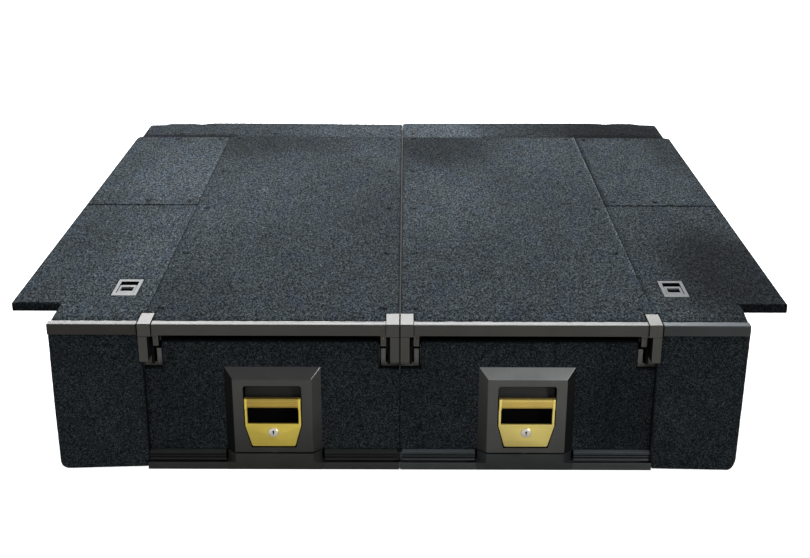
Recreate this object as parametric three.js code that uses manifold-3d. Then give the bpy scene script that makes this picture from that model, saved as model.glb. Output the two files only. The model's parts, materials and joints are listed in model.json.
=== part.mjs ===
// Twin drawer system for the tub of a pick-up: two long drawers side by side under carpeted lids,
// with a carpeted wing over each wheel arch whose front half is a hatch, and filler boards behind.
// Millimetres, +Z up, drawers open towards -Y. The origin is the middle of the footprint, on the floor.
import * as THREE from 'three';
import { mergeVertices } from 'three/addons/utils/BufferGeometryUtils.js';
import { ConvexGeometry } from 'three/addons/geometries/ConvexGeometry.js';
import Module from 'manifold-3d';

// ---------------------------------------------------------------- driving dimensions
const TOP = 314;            // top of the carpeted deck
const BOARD = 12;           // thickness of a carpeted board
const CLEAR = 0.3;          // gap between pieces that touch
const U_OUT = 500.8;        // outer edge of a module, from the centre line
const U_IN = 1.2;           // inner edge of a module
const LID_OUT = 492.5;      // outer edge of a lid board
const LID_REAR = 1354;      // rear edge of the lids and wings
const FRONT = -5;           // foremost face (rail end caps and grips)
const REAR = 1525;          // rear edge of the filler boards
const YC = (FRONT + REAR) / 2;   // middle of the footprint, measured from the trims' front plane
const SPLIT = 724;          // seam between hatch board and rear wing board
const WING = 765;           // outer edge of a wing
const NARROW = 673;         // outer edge of a wing ahead of the wheel arch step
const STEP_Y = 101;         // where the wing steps out
const TRIM_TOP = 313.3;     // top of the front trims
const TRIM_DEEP = 19;       // depth of the trims' top flange
const LID_TRIM_LOW = 287.5; // lower edge of the lid trims
const WING_TRIM_LOW = 291.5;
const CAP_TOP = 316;        // top of the rail end caps
const CAP_W = 25;           // width of an end cap's head
const CAP_REAR = 51;        // rear edge of an end cap's head
const POST_W = 17.5;        // width of an end cap's post
const POST_LOW = 237;       // lower end of the post
const TAB_LOW = 263.3;      // lower end of the stop tab
const RAIL_Y0 = 36;         // front end of a runner rail
const RAIL_Y1 = 1341.7;     // rear end of a runner rail
const RAIL_LOW = 211;       // underside of a runner rail
const RAIL_FLOOR = 219;     // running surface inside the rail
const RAIL_LIP = 248.4;     // top of the rail's lower lip
const RAIL_LIP2 = 264;      // bottom of the rail's upper lip
const RAIL_W = 36;          // width of the rail section
const RAIL_TOP = 301.7;
const SILL_TOP = 15.5;      // top of the sill's lip
const FOOT_TOP = 35;        // top of the striker foot
const FACE_Y = 18;          // front plane of the drawer front boards
const FACE_T = 15;          // their thickness
const FACE_LOW = 36, FACE_TOP = 270;
const NOTCH_E = 39.5, NOTCH_Z = 213;  // corner notches of the front boards round the rails
const C = 248.5;            // handle centre line, from the middle of the system
const BEZ_HALF = 94.25, BEZ_LOW = 37, BEZ_TOP = 217;      // bezel outline where it meets the board
const BEZ_FHALF = 76.5, BEZ_FLOW = 39, BEZ_FTOP = 198;    // bezel front face
const OPEN_HALF = 57, OPEN_TOP = 184, OPEN_KNEE = 100, OPEN_BHALF = 44, OPEN_LOW = 49.5; // recess mouth
const PAN_Y = 31;           // rear of the recess pan
const PLATE_HALF = 54.75, PLATE_BHALF = 42.75, PLATE_LOW = 53, PLATE_TOP = 102;        // handle plate
const PIVOT_Y = 5.5, PIVOT_Z = 58;    // handle pivot
const GRIP_LOW = 137, GRIP_TOP = 157.7;
const LOCK_Z = 83.5, LOCK_R = 10;
const TRAY_Y0 = 36.6, TRAY_Y1 = 1300, TRAY_LOW = 40, TRAY_T = 2, TRAY_E = 38;
const FLANGE_Z0 = 254.5, FLANGE_Z1 = 257;
const ROLL_R = 12, ROLL_Y = 1268, ROLL_Z = RAIL_FLOOR + CLEAR + ROLL_R;
const LATCH_U = 555.5, LATCH_Y0 = 141, LATCH_Y1 = 229;

const wasm = await Module();
wasm.setup();

// ---------------------------------------------------------------- helpers
const y = v => v - YC;      // measured from the trims' front plane -> model frame

function toManifold(g) {
  const c = g.clone();
  for (const n of Object.keys(c.attributes)) if (n !== 'position') c.deleteAttribute(n);
  c.morphAttributes = {};
  const m = mergeVertices(c, 1e-5);
  return new wasm.Manifold(new wasm.Mesh({
    numProp: 3,
    vertProperties: new Float32Array(m.attributes.position.array),
    triVerts: new Uint32Array(m.index.array),
  }));
}
function toGeometry(man) {
  const m = man.getMesh();
  const g = new THREE.BufferGeometry();
  g.setAttribute('position', new THREE.BufferAttribute(new Float32Array(m.vertProperties), 3));
  g.setIndex(new THREE.BufferAttribute(new Uint32Array(m.triVerts), 1));
  g.computeVertexNormals();
  return g;
}
// a box between two x, two y (from the front plane) and two z
function box(x0, x1, y0, y1, z0, z1) {
  const [a, b] = x0 < x1 ? [x0, x1] : [x1, x0];
  const g = new THREE.BoxGeometry(b - a, y1 - y0, z1 - z0);
  g.translate((a + b) / 2, y((y0 + y1) / 2), (z0 + z1) / 2);
  return toManifold(g);
}
function shapeOf(pts) {
  const s = new THREE.Shape();
  pts.forEach((p, i) => (i ? s.lineTo(p[0], p[1]) : s.moveTo(p[0], p[1])));
  s.closePath();
  return s;
}
function extrude(pts, depth, holes = []) {
  const turn = (p, ccw) => (THREE.ShapeUtils.isClockWise(p.map(q => new THREE.Vector2(q[0], q[1]))) === ccw ? [...p].reverse() : p);
  const s = shapeOf(turn(pts, true));
  for (const h of holes) s.holes.push(shapeOf(turn(h, false)));
  return new THREE.ExtrudeGeometry(s, { depth, bevelEnabled: false, curveSegments: 1 });
}
// outline in x,y (y from the front plane) raised from z0 to z1
function plateZ(pts, z0, z1, holes = []) {
  const g = extrude(pts.map(p => [p[0], y(p[1])]), z1 - z0, holes.map(h => h.map(p => [p[0], y(p[1])])));
  g.translate(0, 0, z0);
  return toManifold(g);
}
// outline in x,z from y0 back to y1
function plateY(pts, y0, y1, holes = []) {
  const g = extrude(pts, y1 - y0, holes);
  g.rotateX(Math.PI / 2);
  g.translate(0, y(y1), 0);
  return toManifold(g);
}
// section in y,z run from x0 to x1
function plateX(pts, x0, x1) {
  const [a, b] = x0 < x1 ? [x0, x1] : [x1, x0];
  const g = extrude(pts.map(p => [y(p[0]), p[1]]), b - a);
  g.applyMatrix4(new THREE.Matrix4().makeBasis(
    new THREE.Vector3(0, 1, 0), new THREE.Vector3(0, 0, 1), new THREE.Vector3(1, 0, 0)));
  g.translate(a, 0, 0);
  return toManifold(g);
}
function rodX(r, x0, x1, yy, z, n = 24) {
  const [a, b] = x0 < x1 ? [x0, x1] : [x1, x0];
  const g = new THREE.CylinderGeometry(r, r, b - a, n);
  g.rotateZ(Math.PI / 2);
  g.translate((a + b) / 2, y(yy), z);
  return toManifold(g);
}
function rodY(r, y0, y1, x, z, n = 32) {
  const g = new THREE.CylinderGeometry(r, r, y1 - y0, n);
  g.translate(x, y((y0 + y1) / 2), z);
  return toManifold(g);
}
function hull(points) {
  return toManifold(new ConvexGeometry(points.map(p => new THREE.Vector3(p[0], y(p[1]), p[2]))));
}
// points of an arc, angles in degrees
function arc(cx, cy, r, a0, a1, n = 4) {
  const out = [];
  for (let i = 0; i <= n; i++) {
    const a = (a0 + (a1 - a0) * i / n) * Math.PI / 180;
    out.push([cx + r * Math.cos(a), cy + r * Math.sin(a)]);
  }
  return out;
}

const looks = {
  carpet: [0x2b2e33, 0.97, 0.0],
  anodised: [0x2e2e2d, 0.42, 0.7],
  moulding: [0x2f2f2f, 0.5, 0.0],
  gold: [0xb0a04a, 0.36, 0.9],
  chrome: [0xd8d8d8, 0.15, 1.0],
  silver: [0xb9bbbc, 0.35, 0.9],
  tray: [0x35373a, 0.55, 0.5],
  frame: [0x8d9092, 0.5, 0.8],
  roller: [0x1c1c1c, 0.5, 0.1],
  steel: [0xa8abad, 0.3, 1.0],
};
const root = new THREE.Group();
function add(name, man, look) {
  const [color, roughness, metalness] = looks[look];
  const mesh = new THREE.Mesh(toGeometry(man), new THREE.MeshStandardMaterial({ color, roughness, metalness }));
  mesh.name = name;
  root.add(mesh);
}

for (const [side, s] of [['left', -1], ['right', 1]]) {
  const n = p => `${side}_${p}`;
  const eo = e => s * (U_OUT - e);       // distance e in from the module's outer edge
  const ei = e => s * (U_IN + e);        // distance e in from the module's inner edge
  const U = u => s * u;

  // ------------------------------------------------------------ carcass
  add(n('floor_board'), box(ei(0.3), eo(1.5), 31.5, RAIL_Y1, 0, BOARD), 'carpet');
  add(n('outer_side_panel'), box(eo(1.5), eo(13.5), 34, RAIL_Y1, BOARD + CLEAR, RAIL_LOW - CLEAR), 'carpet');
  add(n('inner_side_panel'), box(ei(0.3), ei(12.3), 34, RAIL_Y1, BOARD + CLEAR, RAIL_LOW - CLEAR), 'carpet');
  // folded sheet: the top edge turned back as a ledge under the filler board
  add(n('rear_panel'), plateX([[1342, 0], [1345, 0], [1345, 296.7], [1440, 296.7], [1440, 299.7], [1342, 299.7]],
    ei(0.3), eo(1.5)), 'frame');

  // ------------------------------------------------------------ runner rails and their end caps
  for (const [which, e] of [['outer', eo], ['inner', ei]]) {
    // C-section with a hollow web, an upturned lower lip and a deep upper lip
    const sec = [[e(1), RAIL_LOW], [e(RAIL_W), RAIL_LOW], [e(RAIL_W), RAIL_LIP], [e(26.5), RAIL_LIP],
      [e(26.5), RAIL_FLOOR], [e(17), RAIL_FLOOR], [e(17), 296], [e(26.5), 296], [e(26.5), RAIL_LIP2],
      [e(RAIL_W), RAIL_LIP2], [e(RAIL_W), RAIL_TOP], [e(1), RAIL_TOP]];
    const bore = [[e(3.5), 214], [e(14.5), 214], [e(14.5), 298.5], [e(3.5), 298.5]];
    add(n(`${which}_runner_rail`), plateY(sec, RAIL_Y0, RAIL_Y1, [bore]), 'anodised');
    // head over the lid's corner, post in front of the web, and a stop tab hung behind the trim
    let cap = plateX([[FRONT, 290], [RAIL_Y0 - CLEAR, 290], [RAIL_Y0 - CLEAR, 302], [CAP_REAR, 302],
      [CAP_REAR, CAP_TOP - 0.8], [CAP_REAR - 0.8, CAP_TOP], [FRONT + 1, CAP_TOP], [FRONT, CAP_TOP - 1]], e(0), e(CAP_W));
    cap = cap.add(box(e(0), e(POST_W), FRONT, RAIL_Y0 - CLEAR, POST_LOW, 290.5));
    cap = cap.add(box(e(POST_W - 1), e(RAIL_W), 12, RAIL_Y0 - CLEAR, 283, 287));
    cap = cap.add(box(e(CAP_W), e(RAIL_W), 12, 30, TAB_LOW, 283.5));
    add(n(`${which}_rail_cap`), cap, 'anodised');
  }

  // ------------------------------------------------------------ lid with its front trim
  // the board is rebated along its front edge for the trim and notched for the caps' heads
  const lid = plateZ([[ei(26), TRIM_DEEP + CLEAR], [eo(26), TRIM_DEEP + CLEAR], [eo(25.4), CAP_REAR + 0.5],
    [U(LID_OUT), CAP_REAR + 0.5], [U(LID_OUT), LID_REAR], [ei(0.8), LID_REAR], [ei(0.8), CAP_REAR + 0.5],
    [ei(25.4), CAP_REAR + 0.5]], TOP - BOARD, TOP);
  const tongue = box(ei(28), eo(28), 3.3, TRIM_DEEP + 1, TOP - BOARD, TRIM_TOP - 3.1);
  add(n('lid_board'), lid.add(tongue), 'carpet');
  const trimSec = low => [[0, low], [0, TRIM_TOP - 1.2], [1.2, TRIM_TOP], [TRIM_DEEP, TRIM_TOP], [TRIM_DEEP, TRIM_TOP - 2.8],
    [3, TRIM_TOP - 2.8], [3, low]];
  add(n('lid_trim'), plateX([[0, LID_TRIM_LOW], [0, TRIM_TOP - 1.2], [1.2, TRIM_TOP], [TRIM_DEEP, TRIM_TOP],
    [TRIM_DEEP, TRIM_TOP - 2.8], [3, TRIM_TOP - 2.8], [3, LID_TRIM_LOW + 3], [8, LID_TRIM_LOW + 3], [8, LID_TRIM_LOW]],
    ei(25.8), eo(25.8)), 'anodised');

  // ------------------------------------------------------------ sill and striker foot
  let sill = plateX([[0, 0], [31, 0], [31, 11.5], [28, 11.5], [28, 3], [3, 3], [3, SILL_TOP], [0, SILL_TOP]], ei(0.1), eo(0.8));
  sill = sill.subtract(box(U(C - 97), U(C + 95), -1, 24, -1, SILL_TOP + 1));
  add(n('sill'), sill, 'anodised');
  let foot = box(U(C - 96.7), U(C + 94.7), 0, 23.5, 0, SILL_TOP);
  foot = foot.add(plateZ([[U(C - 76.5), 0], [U(C + 76.5), 0], [U(C + 94.25), 17.5], [U(C + 94.25), 23.5],
    [U(C - 94.25), 23.5], [U(C - 94.25), 17.5]], SILL_TOP - 1, FOOT_TOP));
  foot = foot.subtract(box(U(C - 7), U(C + 7), 6, 17, 20, FOOT_TOP + 1));
  add(n('striker_foot'), foot, 'moulding');

  // ------------------------------------------------------------ drawer: front board, kick rail, tray
  const f0 = ei(3.3), f1 = eo(3.8);
  const face = plateY([[f0, FACE_LOW], [f1, FACE_LOW], [f1, NOTCH_Z], [eo(NOTCH_E), NOTCH_Z], [eo(NOTCH_E), FACE_TOP],
    [ei(NOTCH_E), FACE_TOP], [ei(NOTCH_E), NOTCH_Z], [f0, NOTCH_Z]], FACE_Y, FACE_Y + FACE_T,
    [[[U(C - 62), 46], [U(C + 62), 46], [U(C + 62), 190], [U(C - 62), 190]]]);
  add(n('drawer_front'), face, 'carpet');
  // ribbed extrusion: the front part is cut away for the striker foot, the web behind the board is whole
  const ribs = [[7, 17], [17.7, 17], [17.7, 32.5], [31, 32.5], [31, 35.6], [7, 35.6], [7, 31], [9.5, 30], [9.5, 28.5],
    [7.6, 27.5], [7.6, 25.5], [9.5, 24.5], [9.5, 22.5], [7.6, 21.5], [7.6, 19.5], [7, 19]];
  let kick = plateX(ribs, f0, U(C - 99)).add(plateX(ribs, U(C + 97), f1));
  kick = kick.add(box(ei(45), U(C - 99), 30, 36.3, 32.5, 35.6)).add(box(U(C + 97), eo(45), 30, 36.3, 32.5, 35.6));
  kick = kick.add(box(ei(45), eo(45), 33.3, 36.3, 37, 60));
  kick = kick.add(box(ei(45), U(C - 99), 33.3, 36.3, 32.5, 38)).add(box(U(C + 97), eo(45), 33.3, 36.3, 32.5, 38));
  add(n('kick_rail'), kick, 'anodised');

  let tray = box(ei(TRAY_E), eo(TRAY_E), TRAY_Y0, TRAY_Y1, TRAY_LOW, FLANGE_Z1);
  tray = tray.subtract(box(ei(TRAY_E + TRAY_T), eo(TRAY_E + TRAY_T), TRAY_Y0 + TRAY_T, TRAY_Y1 - TRAY_T,
    TRAY_LOW + TRAY_T, FLANGE_Z1 + 1));
  for (const e of [eo, ei]) {
    // flange through the rail's slot, turned down inside the channel as the roller plate
    tray = tray.add(box(e(23.6), e(TRAY_E + 1), 60, TRAY_Y1, FLANGE_Z0, FLANGE_Z1));
    tray = tray.add(box(e(23.6), e(25.6), 60, TRAY_Y1, 222, FLANGE_Z1));
    tray = tray.add(rodX(3, e(17.6), e(25), ROLL_Y, ROLL_Z, 20));
  }
  add(n('drawer_tray'), tray, 'tray');
  for (const [which, e] of [['outer', eo], ['inner', ei]]) {
    let roll = rodX(ROLL_R, e(17.7), e(23.2), ROLL_Y, ROLL_Z, 40);
    roll = roll.subtract(rodX(3.1, e(16), e(24), ROLL_Y, ROLL_Z, 20));
    add(n(`${which}_roller`), roll, 'roller');
  }

  // ------------------------------------------------------------ handle set
  const fr = (hb, zb0, zb1, yb, hf, zf0, zf1, yf) => hull([
    [U(C - hb), yb, zb0], [U(C + hb), yb, zb0], [U(C - hb), yb, zb1], [U(C + hb), yb, zb1],
    [U(C - hf), yf, zf0], [U(C + hf), yf, zf0], [U(C - hf), yf, zf1], [U(C + hf), yf, zf1]]);
  const mouth = d => [
    [U(C - OPEN_BHALF - d), OPEN_LOW - d], [U(C + OPEN_BHALF + d), OPEN_LOW - d], [U(C + OPEN_HALF + d), OPEN_KNEE - d * 0.4],
    ...arc(C + OPEN_HALF - 6, OPEN_TOP - 6, 6 + d, 0, 90).map(p => [U(p[0]), p[1]]),
    ...arc(C - OPEN_HALF + 6, OPEN_TOP - 6, 6 + d, 90, 180).map(p => [U(p[0]), p[1]]),
    [U(C - OPEN_HALF - d), OPEN_KNEE - d * 0.4]];
  let bezel = fr(BEZ_HALF, BEZ_LOW, BEZ_TOP, FACE_Y - CLEAR, BEZ_FHALF, BEZ_FLOW, BEZ_FTOP, 0);
  bezel = bezel.subtract(fr(BEZ_HALF - 3.4, BEZ_LOW + 3, BEZ_TOP - 3.4, FACE_Y + 0.5, BEZ_FHALF - 1.6, BEZ_FLOW + 2.4, BEZ_FTOP - 1.6, 3));
  bezel = bezel.add(plateY(mouth(2.5), 2, PAN_Y));
  bezel = bezel.subtract(plateY(mouth(0), -1, PAN_Y - 2.5));
  bezel = bezel.subtract(box(U(C - 6), U(C + 6), 7, 16, BEZ_LOW - 1, OPEN_LOW + 0.5));
  bezel = bezel.subtract(rodX(2.8, U(C - 52), U(C + 52), PIVOT_Y, PIVOT_Z, 20));
  add(n('handle_bezel'), bezel, 'moulding');

  let handle = plateY([[U(C - PLATE_BHALF + 2), PLATE_LOW], [U(C + PLATE_BHALF - 2), PLATE_LOW], [U(C + PLATE_BHALF), PLATE_LOW + 2],
    [U(C + PLATE_HALF), 98], [U(C + PLATE_HALF), PLATE_TOP], [U(C - PLATE_HALF), PLATE_TOP], [U(C - PLATE_HALF), 98],
    [U(C - PLATE_BHALF), PLATE_LOW + 2]], -1, 3);
  for (const k of [-1, 1]) {
    handle = handle.add(box(U(C + k * (PLATE_HALF - 4.3)), U(C + k * PLATE_HALF), -1, 8, 97, 147));
    handle = handle.add(rodX(2.5, U(C + k * 40), U(C + k * 47.5), PIVOT_Y, PIVOT_Z, 20));
    handle = handle.add(box(U(C + k * 38), U(C + k * 42.5), 2.5, 8.5, PIVOT_Z - 3, PIVOT_Z + 3));
  }
  // grip: a bar with rounded corners and three shallow grooves along its front
  const gm = (GRIP_LOW + GRIP_TOP) / 2, gh = (GRIP_TOP - GRIP_LOW) / 2, r = 5;
  const grip = [
    ...arc(9 - r, gm - gh + r, r, -90, 0, 5), ...arc(9 - r, gm + gh - r, r, 0, 90, 5),
    ...arc(-5 + r, gm + gh - r, r, 90, 180, 5),
    [-5, gm + 4.6], [-4.1, gm + 4.1], [-5, gm + 3.6], [-5, gm + 0.5], [-4.1, gm], [-5, gm - 0.5],
    [-5, gm - 3.6], [-4.1, gm - 4.1], [-5, gm - 4.6],
    ...arc(-5 + r, gm - gh + r, r, 180, 270, 5)];
  handle = handle.add(plateX(grip, U(C - PLATE_HALF), U(C + PLATE_HALF)));
  handle = handle.add(rodY(13, 2, 7.5, U(C), LOCK_Z));
  handle = handle.add(box(U(C - 8), U(C + 8), 2.5, 6.5, 57, 62));
  handle = handle.subtract(rodY(LOCK_R + 0.3, -5, 10, U(C), LOCK_Z));
  add(n('handle'), handle, 'gold');

  let lock = rodY(LOCK_R, -3, 7, U(C), LOCK_Z);
  lock = lock.subtract(box(U(C - 0.9), U(C + 0.9), -4, 0, LOCK_Z - 4.5, LOCK_Z + 3)).subtract(rodY(1.8, -4, 0, U(C), LOCK_Z + 2.4, 16));
  add(n('lock_cylinder'), lock, 'chrome');
  const bolt = plateX([[8, 30], [10, 28], [15, 28], [15, 72], [8, 72]], U(C - 5), U(C + 5));
  add(n('latch_bolt'), bolt, 'steel');

  // ------------------------------------------------------------ wing
  const rr = 12;
  const fas = [[U(501.4), 2], [U(NARROW - rr), 0], ...arc(NARROW - rr, rr, rr, -75, 0, 4).map(p => [U(p[0]), p[1]]),
    [U(NARROW), 301.5], [U(501.4), 301.5], [U(501.4), POST_LOW - 1], [U(497.9), POST_LOW - 1], [U(497.9), SILL_TOP + 1], [U(501.4), SILL_TOP + 1]];
  add(n('wing_fascia'), plateY(fas, 8, 20), 'carpet');
  // folded angle frame: top flange under the boards, turned-down rim, one leg to the floor
  let fr2 = box(U(501.5), U(671), 22, 1340, 277, RAIL_TOP).add(box(U(645), U(671), 1314, 1340, 0, 290));
  fr2 = fr2.subtract(box(U(504.5), U(668), 25, 723, 4, 298.7)).subtract(box(U(504.5), U(668), 726, 1337, 4, 298.7));
  fr2 = fr2.subtract(box(U(531), U(641), 126, 700, 290, 303)).subtract(box(U(531), U(641), 752, 1310, 290, 303));
  add(n('wing_frame'), fr2, 'frame');
  // hatch board: inner front corner notched round the end cap, outer front corner stepped in
  let hatch = plateZ([[U(502.6), TRIM_DEEP + CLEAR], [U(NARROW), TRIM_DEEP + CLEAR], [U(NARROW), STEP_Y], [U(WING - 2), STEP_Y],
    [U(WING), STEP_Y + 2], [U(WING), SPLIT - 1], [U(494.5), SPLIT - 1], [U(494.5), CAP_REAR + 1.5], [U(502.6), CAP_REAR + 1.5]],
    TOP - BOARD, TOP, [[[U(LATCH_U - 21), 146], [U(LATCH_U + 21), 146], [U(LATCH_U + 21), 224], [U(LATCH_U - 21), 224]]]);
  hatch = hatch.add(box(U(503.5), U(NARROW - 0.5), 3.3, TRIM_DEEP + 1, TOP - BOARD, TRIM_TOP - 3.1));
  add(n('hatch_board'), hatch, 'carpet');
  add(n('hatch_trim'), plateX(trimSec(WING_TRIM_LOW), U(502.6), U(NARROW)), 'anodised');
  add(n('rear_wing_board'), plateZ([[U(494.5), SPLIT + 1], [U(WING), SPLIT + 1], [U(WING), LID_REAR - 12], [U(WING - 14), LID_REAR],
    [U(494.5), LID_REAR]], TOP - BOARD, TOP), 'carpet');
  // filler: its rear edge follows the shallow ribs of the tub's front wall
  add(n('filler_board'), plateZ([[U(1.4), LID_REAR + 2], [U(749), LID_REAR + 2], [U(749), 1492], [U(743), 1503], [U(704), 1505],
    [U(696), 1512], [U(688), 1518], [U(612), 1517], [U(603), 1511], [U(596), 1511], [U(586), 1522], [U(560), 1525], [U(1.4), REAR]],
    300, 312), 'carpet');

  // ------------------------------------------------------------ flush latch
  let plate = box(U(LATCH_U - 25), U(LATCH_U + 25), LATCH_Y0, LATCH_Y1, TOP + CLEAR, TOP + 1.8);
  plate = plate.add(box(U(LATCH_U - 20.5), U(LATCH_U + 20.5), 146.5, 223.5, 288, TOP + 1));
  plate = plate.subtract(box(U(LATCH_U - 18), U(LATCH_U + 18), 156, 217, 308.5, TOP + 3));
  plate = plate.subtract(box(U(LATCH_U - 15), U(LATCH_U + 15), 166, 216, 302, TOP + 3));
  plate = plate.subtract(box(U(LATCH_U - 8.6), U(LATCH_U + 8.6), 145, 208, 290.9, 298.6));
  add(n('latch_plate'), plate, 'silver');
  let ring = plateZ([[U(LATCH_U - 17), 159], [U(LATCH_U + 17), 159], [U(LATCH_U + 17), 198], [U(LATCH_U + 14.5), 200.5],
    [U(LATCH_U - 14.5), 200.5], [U(LATCH_U - 17), 198]], 310.3, 314.5,
    [[[U(LATCH_U - 12.5), 169], [U(LATCH_U + 12.5), 169], [U(LATCH_U + 12.5), 190], [U(LATCH_U - 12.5), 190]]]);
  add(n('latch_ring'), ring, 'silver');
  add(n('latch_tongue'), plateX([[112, 297], [113, 298], [190, 298], [190, 291.5], [120, 291.5]], U(LATCH_U - 8), U(LATCH_U + 8)), 'steel');
}

export default root;
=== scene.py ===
"""Looks of a twin drawer system for the tub of a pick-up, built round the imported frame.

Metres, +Z up, drawers open towards -Y. Lengths in the tables below are millimetres, with
y measured from the front plane of the trims, as the part itself is drawn; mm() turns them
into the row frame.
"""
import json
import math

import bmesh
import bpy
import numpy as np
from mathutils import Matrix, Vector
from mathutils.geometry import delaunay_2d_cdt

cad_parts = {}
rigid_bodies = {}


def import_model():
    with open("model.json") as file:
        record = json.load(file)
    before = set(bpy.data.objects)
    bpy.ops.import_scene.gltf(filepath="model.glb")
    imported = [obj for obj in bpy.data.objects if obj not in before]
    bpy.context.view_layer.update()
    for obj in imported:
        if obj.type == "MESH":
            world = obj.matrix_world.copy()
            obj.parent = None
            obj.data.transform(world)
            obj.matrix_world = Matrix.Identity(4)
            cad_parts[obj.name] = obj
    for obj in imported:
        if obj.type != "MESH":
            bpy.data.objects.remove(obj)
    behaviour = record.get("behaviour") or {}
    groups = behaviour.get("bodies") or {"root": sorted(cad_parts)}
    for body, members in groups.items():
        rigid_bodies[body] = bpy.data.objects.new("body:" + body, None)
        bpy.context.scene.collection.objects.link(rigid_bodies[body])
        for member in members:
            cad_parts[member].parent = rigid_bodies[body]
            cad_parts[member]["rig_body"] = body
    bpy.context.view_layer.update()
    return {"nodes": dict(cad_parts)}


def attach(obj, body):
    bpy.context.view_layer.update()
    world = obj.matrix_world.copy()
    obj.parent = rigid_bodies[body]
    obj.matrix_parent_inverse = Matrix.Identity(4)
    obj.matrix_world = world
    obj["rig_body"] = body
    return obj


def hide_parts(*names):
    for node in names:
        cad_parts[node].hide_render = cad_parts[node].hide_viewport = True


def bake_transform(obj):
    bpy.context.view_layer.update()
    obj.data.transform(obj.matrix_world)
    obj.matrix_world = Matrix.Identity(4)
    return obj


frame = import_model()

YC = 760.0                       # middle of the footprint, from the trims' front plane
C = 248.5                        # handle centre line, from the middle of the system
SIDES = (("left", -1), ("right", 1))
NODES = frame["nodes"]
BODY_OF = {n: o["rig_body"] for n, o in NODES.items()}


def mm(x, y, z):
    return (x / 1000.0, (y - YC) / 1000.0, z / 1000.0)


# ---------------------------------------------------------------- camera
PITCH, YAW, ROLL = math.radians(21.38), math.radians(-0.037), math.radians(0.147)
fw = Vector((math.sin(YAW) * math.cos(PITCH), math.cos(YAW) * math.cos(PITCH), -math.sin(PITCH)))
right = Vector((math.cos(YAW), -math.sin(YAW), 0.0))
up = right.cross(fw)
rx = right * math.cos(ROLL) + up * math.sin(ROLL)
ry = up * math.cos(ROLL) - right * math.sin(ROLL)
cam_data = bpy.data.cameras.new("camera")
cam_data.sensor_width = 36.0
cam_data.sensor_fit = "HORIZONTAL"
cam_data.lens = 1300.0 / 810.0 * 36.0
cam_data.shift_y = 0.0006
cam_data.clip_start, cam_data.clip_end = 0.05, 100.0
cam = bpy.data.objects.new("camera", cam_data)
cam.matrix_world = Matrix(((rx.x, ry.x, -fw.x, 0.0110), (rx.y, ry.y, -fw.y, -3.0334), (rx.z, ry.z, -fw.z, 1.2968), (0, 0, 0, 1)))
bpy.context.scene.collection.objects.link(cam)
bpy.context.scene.camera = cam


# ---------------------------------------------------------------- material helpers
def add(nt, kind, ins=None, **props):
    n = nt.nodes.new(kind)
    for k, v in props.items():
        setattr(n, k, v)
    for k, v in (ins or {}).items():
        if isinstance(v, bpy.types.NodeSocket):
            nt.links.new(v, n.inputs[k])
        else:
            n.inputs[k].default_value = v
    return n


def material(name, **sockets):
    m = bpy.data.materials.new(name)
    m.use_nodes = True
    b = m.node_tree.nodes["Principled BSDF"]
    for k, v in sockets.items():
        b.inputs[k.replace("_", " ")].default_value = v
    return m, m.node_tree, b


def coords(nt, scale=(1, 1, 1), loc=(0, 0, 0), turn=None):
    v = add(nt, "ShaderNodeTexCoord").outputs["Object"]
    if turn is not None:
        v = add(nt, "ShaderNodeMapping", {"Vector": v, "Rotation": turn}).outputs["Vector"]
    mp = add(nt, "ShaderNodeMapping", {"Vector": v, "Scale": scale, "Location": loc})
    return mp.outputs["Vector"]


def fibres(nt, vec, scale, share, size):
    """Short stray fibres: one elongated spot in a share of the cells, 0 to 1."""
    n = add(nt, "ShaderNodeTexVoronoi", {"Vector": vec, "Scale": scale, "Randomness": 1.0}, feature="F1", voronoi_dimensions="3D")
    near = rng_map(nt, n.outputs["Distance"], size, size * 0.45, 0.0, 1.0, True)
    pick = add(nt, "ShaderNodeSeparateColor", {"Color": n.outputs["Color"]}).outputs[0]
    return math_(nt, "MULTIPLY", near, rng_map(nt, pick, 1 - share, 1 - share * 0.35, 0.0, 1.0))


def noise(nt, vec, scale, detail=2.0, rough=0.5, dist=0.0):
    n = add(nt, "ShaderNodeTexNoise", {"Vector": vec, "Scale": scale, "Detail": detail, "Roughness": rough, "Distortion": dist})
    return n.outputs["Fac"]


def ramp(nt, fac, stops, interp="LINEAR"):
    n = add(nt, "ShaderNodeValToRGB", {"Fac": fac})
    n.color_ramp.interpolation = interp
    e = n.color_ramp.elements
    while len(e) < len(stops):
        e.new(0.5)
    for i, (p, c) in enumerate(stops):
        e[i].position = p
        e[i].color = (*c, 1.0) if len(c) == 3 else c
    return n.outputs["Color"]


def rng_map(nt, fac, a0, a1, b0, b1, smooth=False):
    n = add(nt, "ShaderNodeMapRange", {"Value": fac, "From Min": a0, "From Max": a1, "To Min": b0, "To Max": b1},
            interpolation_type="SMOOTHSTEP" if smooth else "LINEAR")
    return n.outputs["Result"]


def math_(nt, op, a, b=None, clamp=False):
    ins = {0: a}
    if b is not None:
        ins[1] = b
    return add(nt, "ShaderNodeMath", ins, operation=op, use_clamp=clamp).outputs[0]


def mix(nt, fac, a, b, blend="MIX"):
    n = nt.nodes.new("ShaderNodeMix")
    n.data_type = "RGBA"
    n.blend_type = blend
    for k, v in ((0, fac), (6, a), (7, b)):
        if isinstance(v, bpy.types.NodeSocket):
            nt.links.new(v, n.inputs[k])
        elif k == 0:
            n.inputs[k].default_value = v
        else:
            n.inputs[k].default_value = (*v, 1.0)
    return n.outputs[2]


def bump(nt, bsdf, height, strength=0.5, dist=0.001):
    n = add(nt, "ShaderNodeBump", {"Height": height, "Strength": strength, "Distance": dist})
    nt.links.new(n.outputs["Normal"], bsdf.inputs["Normal"])
    return n


def link(nt, a, b):
    nt.links.new(a, b)


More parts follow.
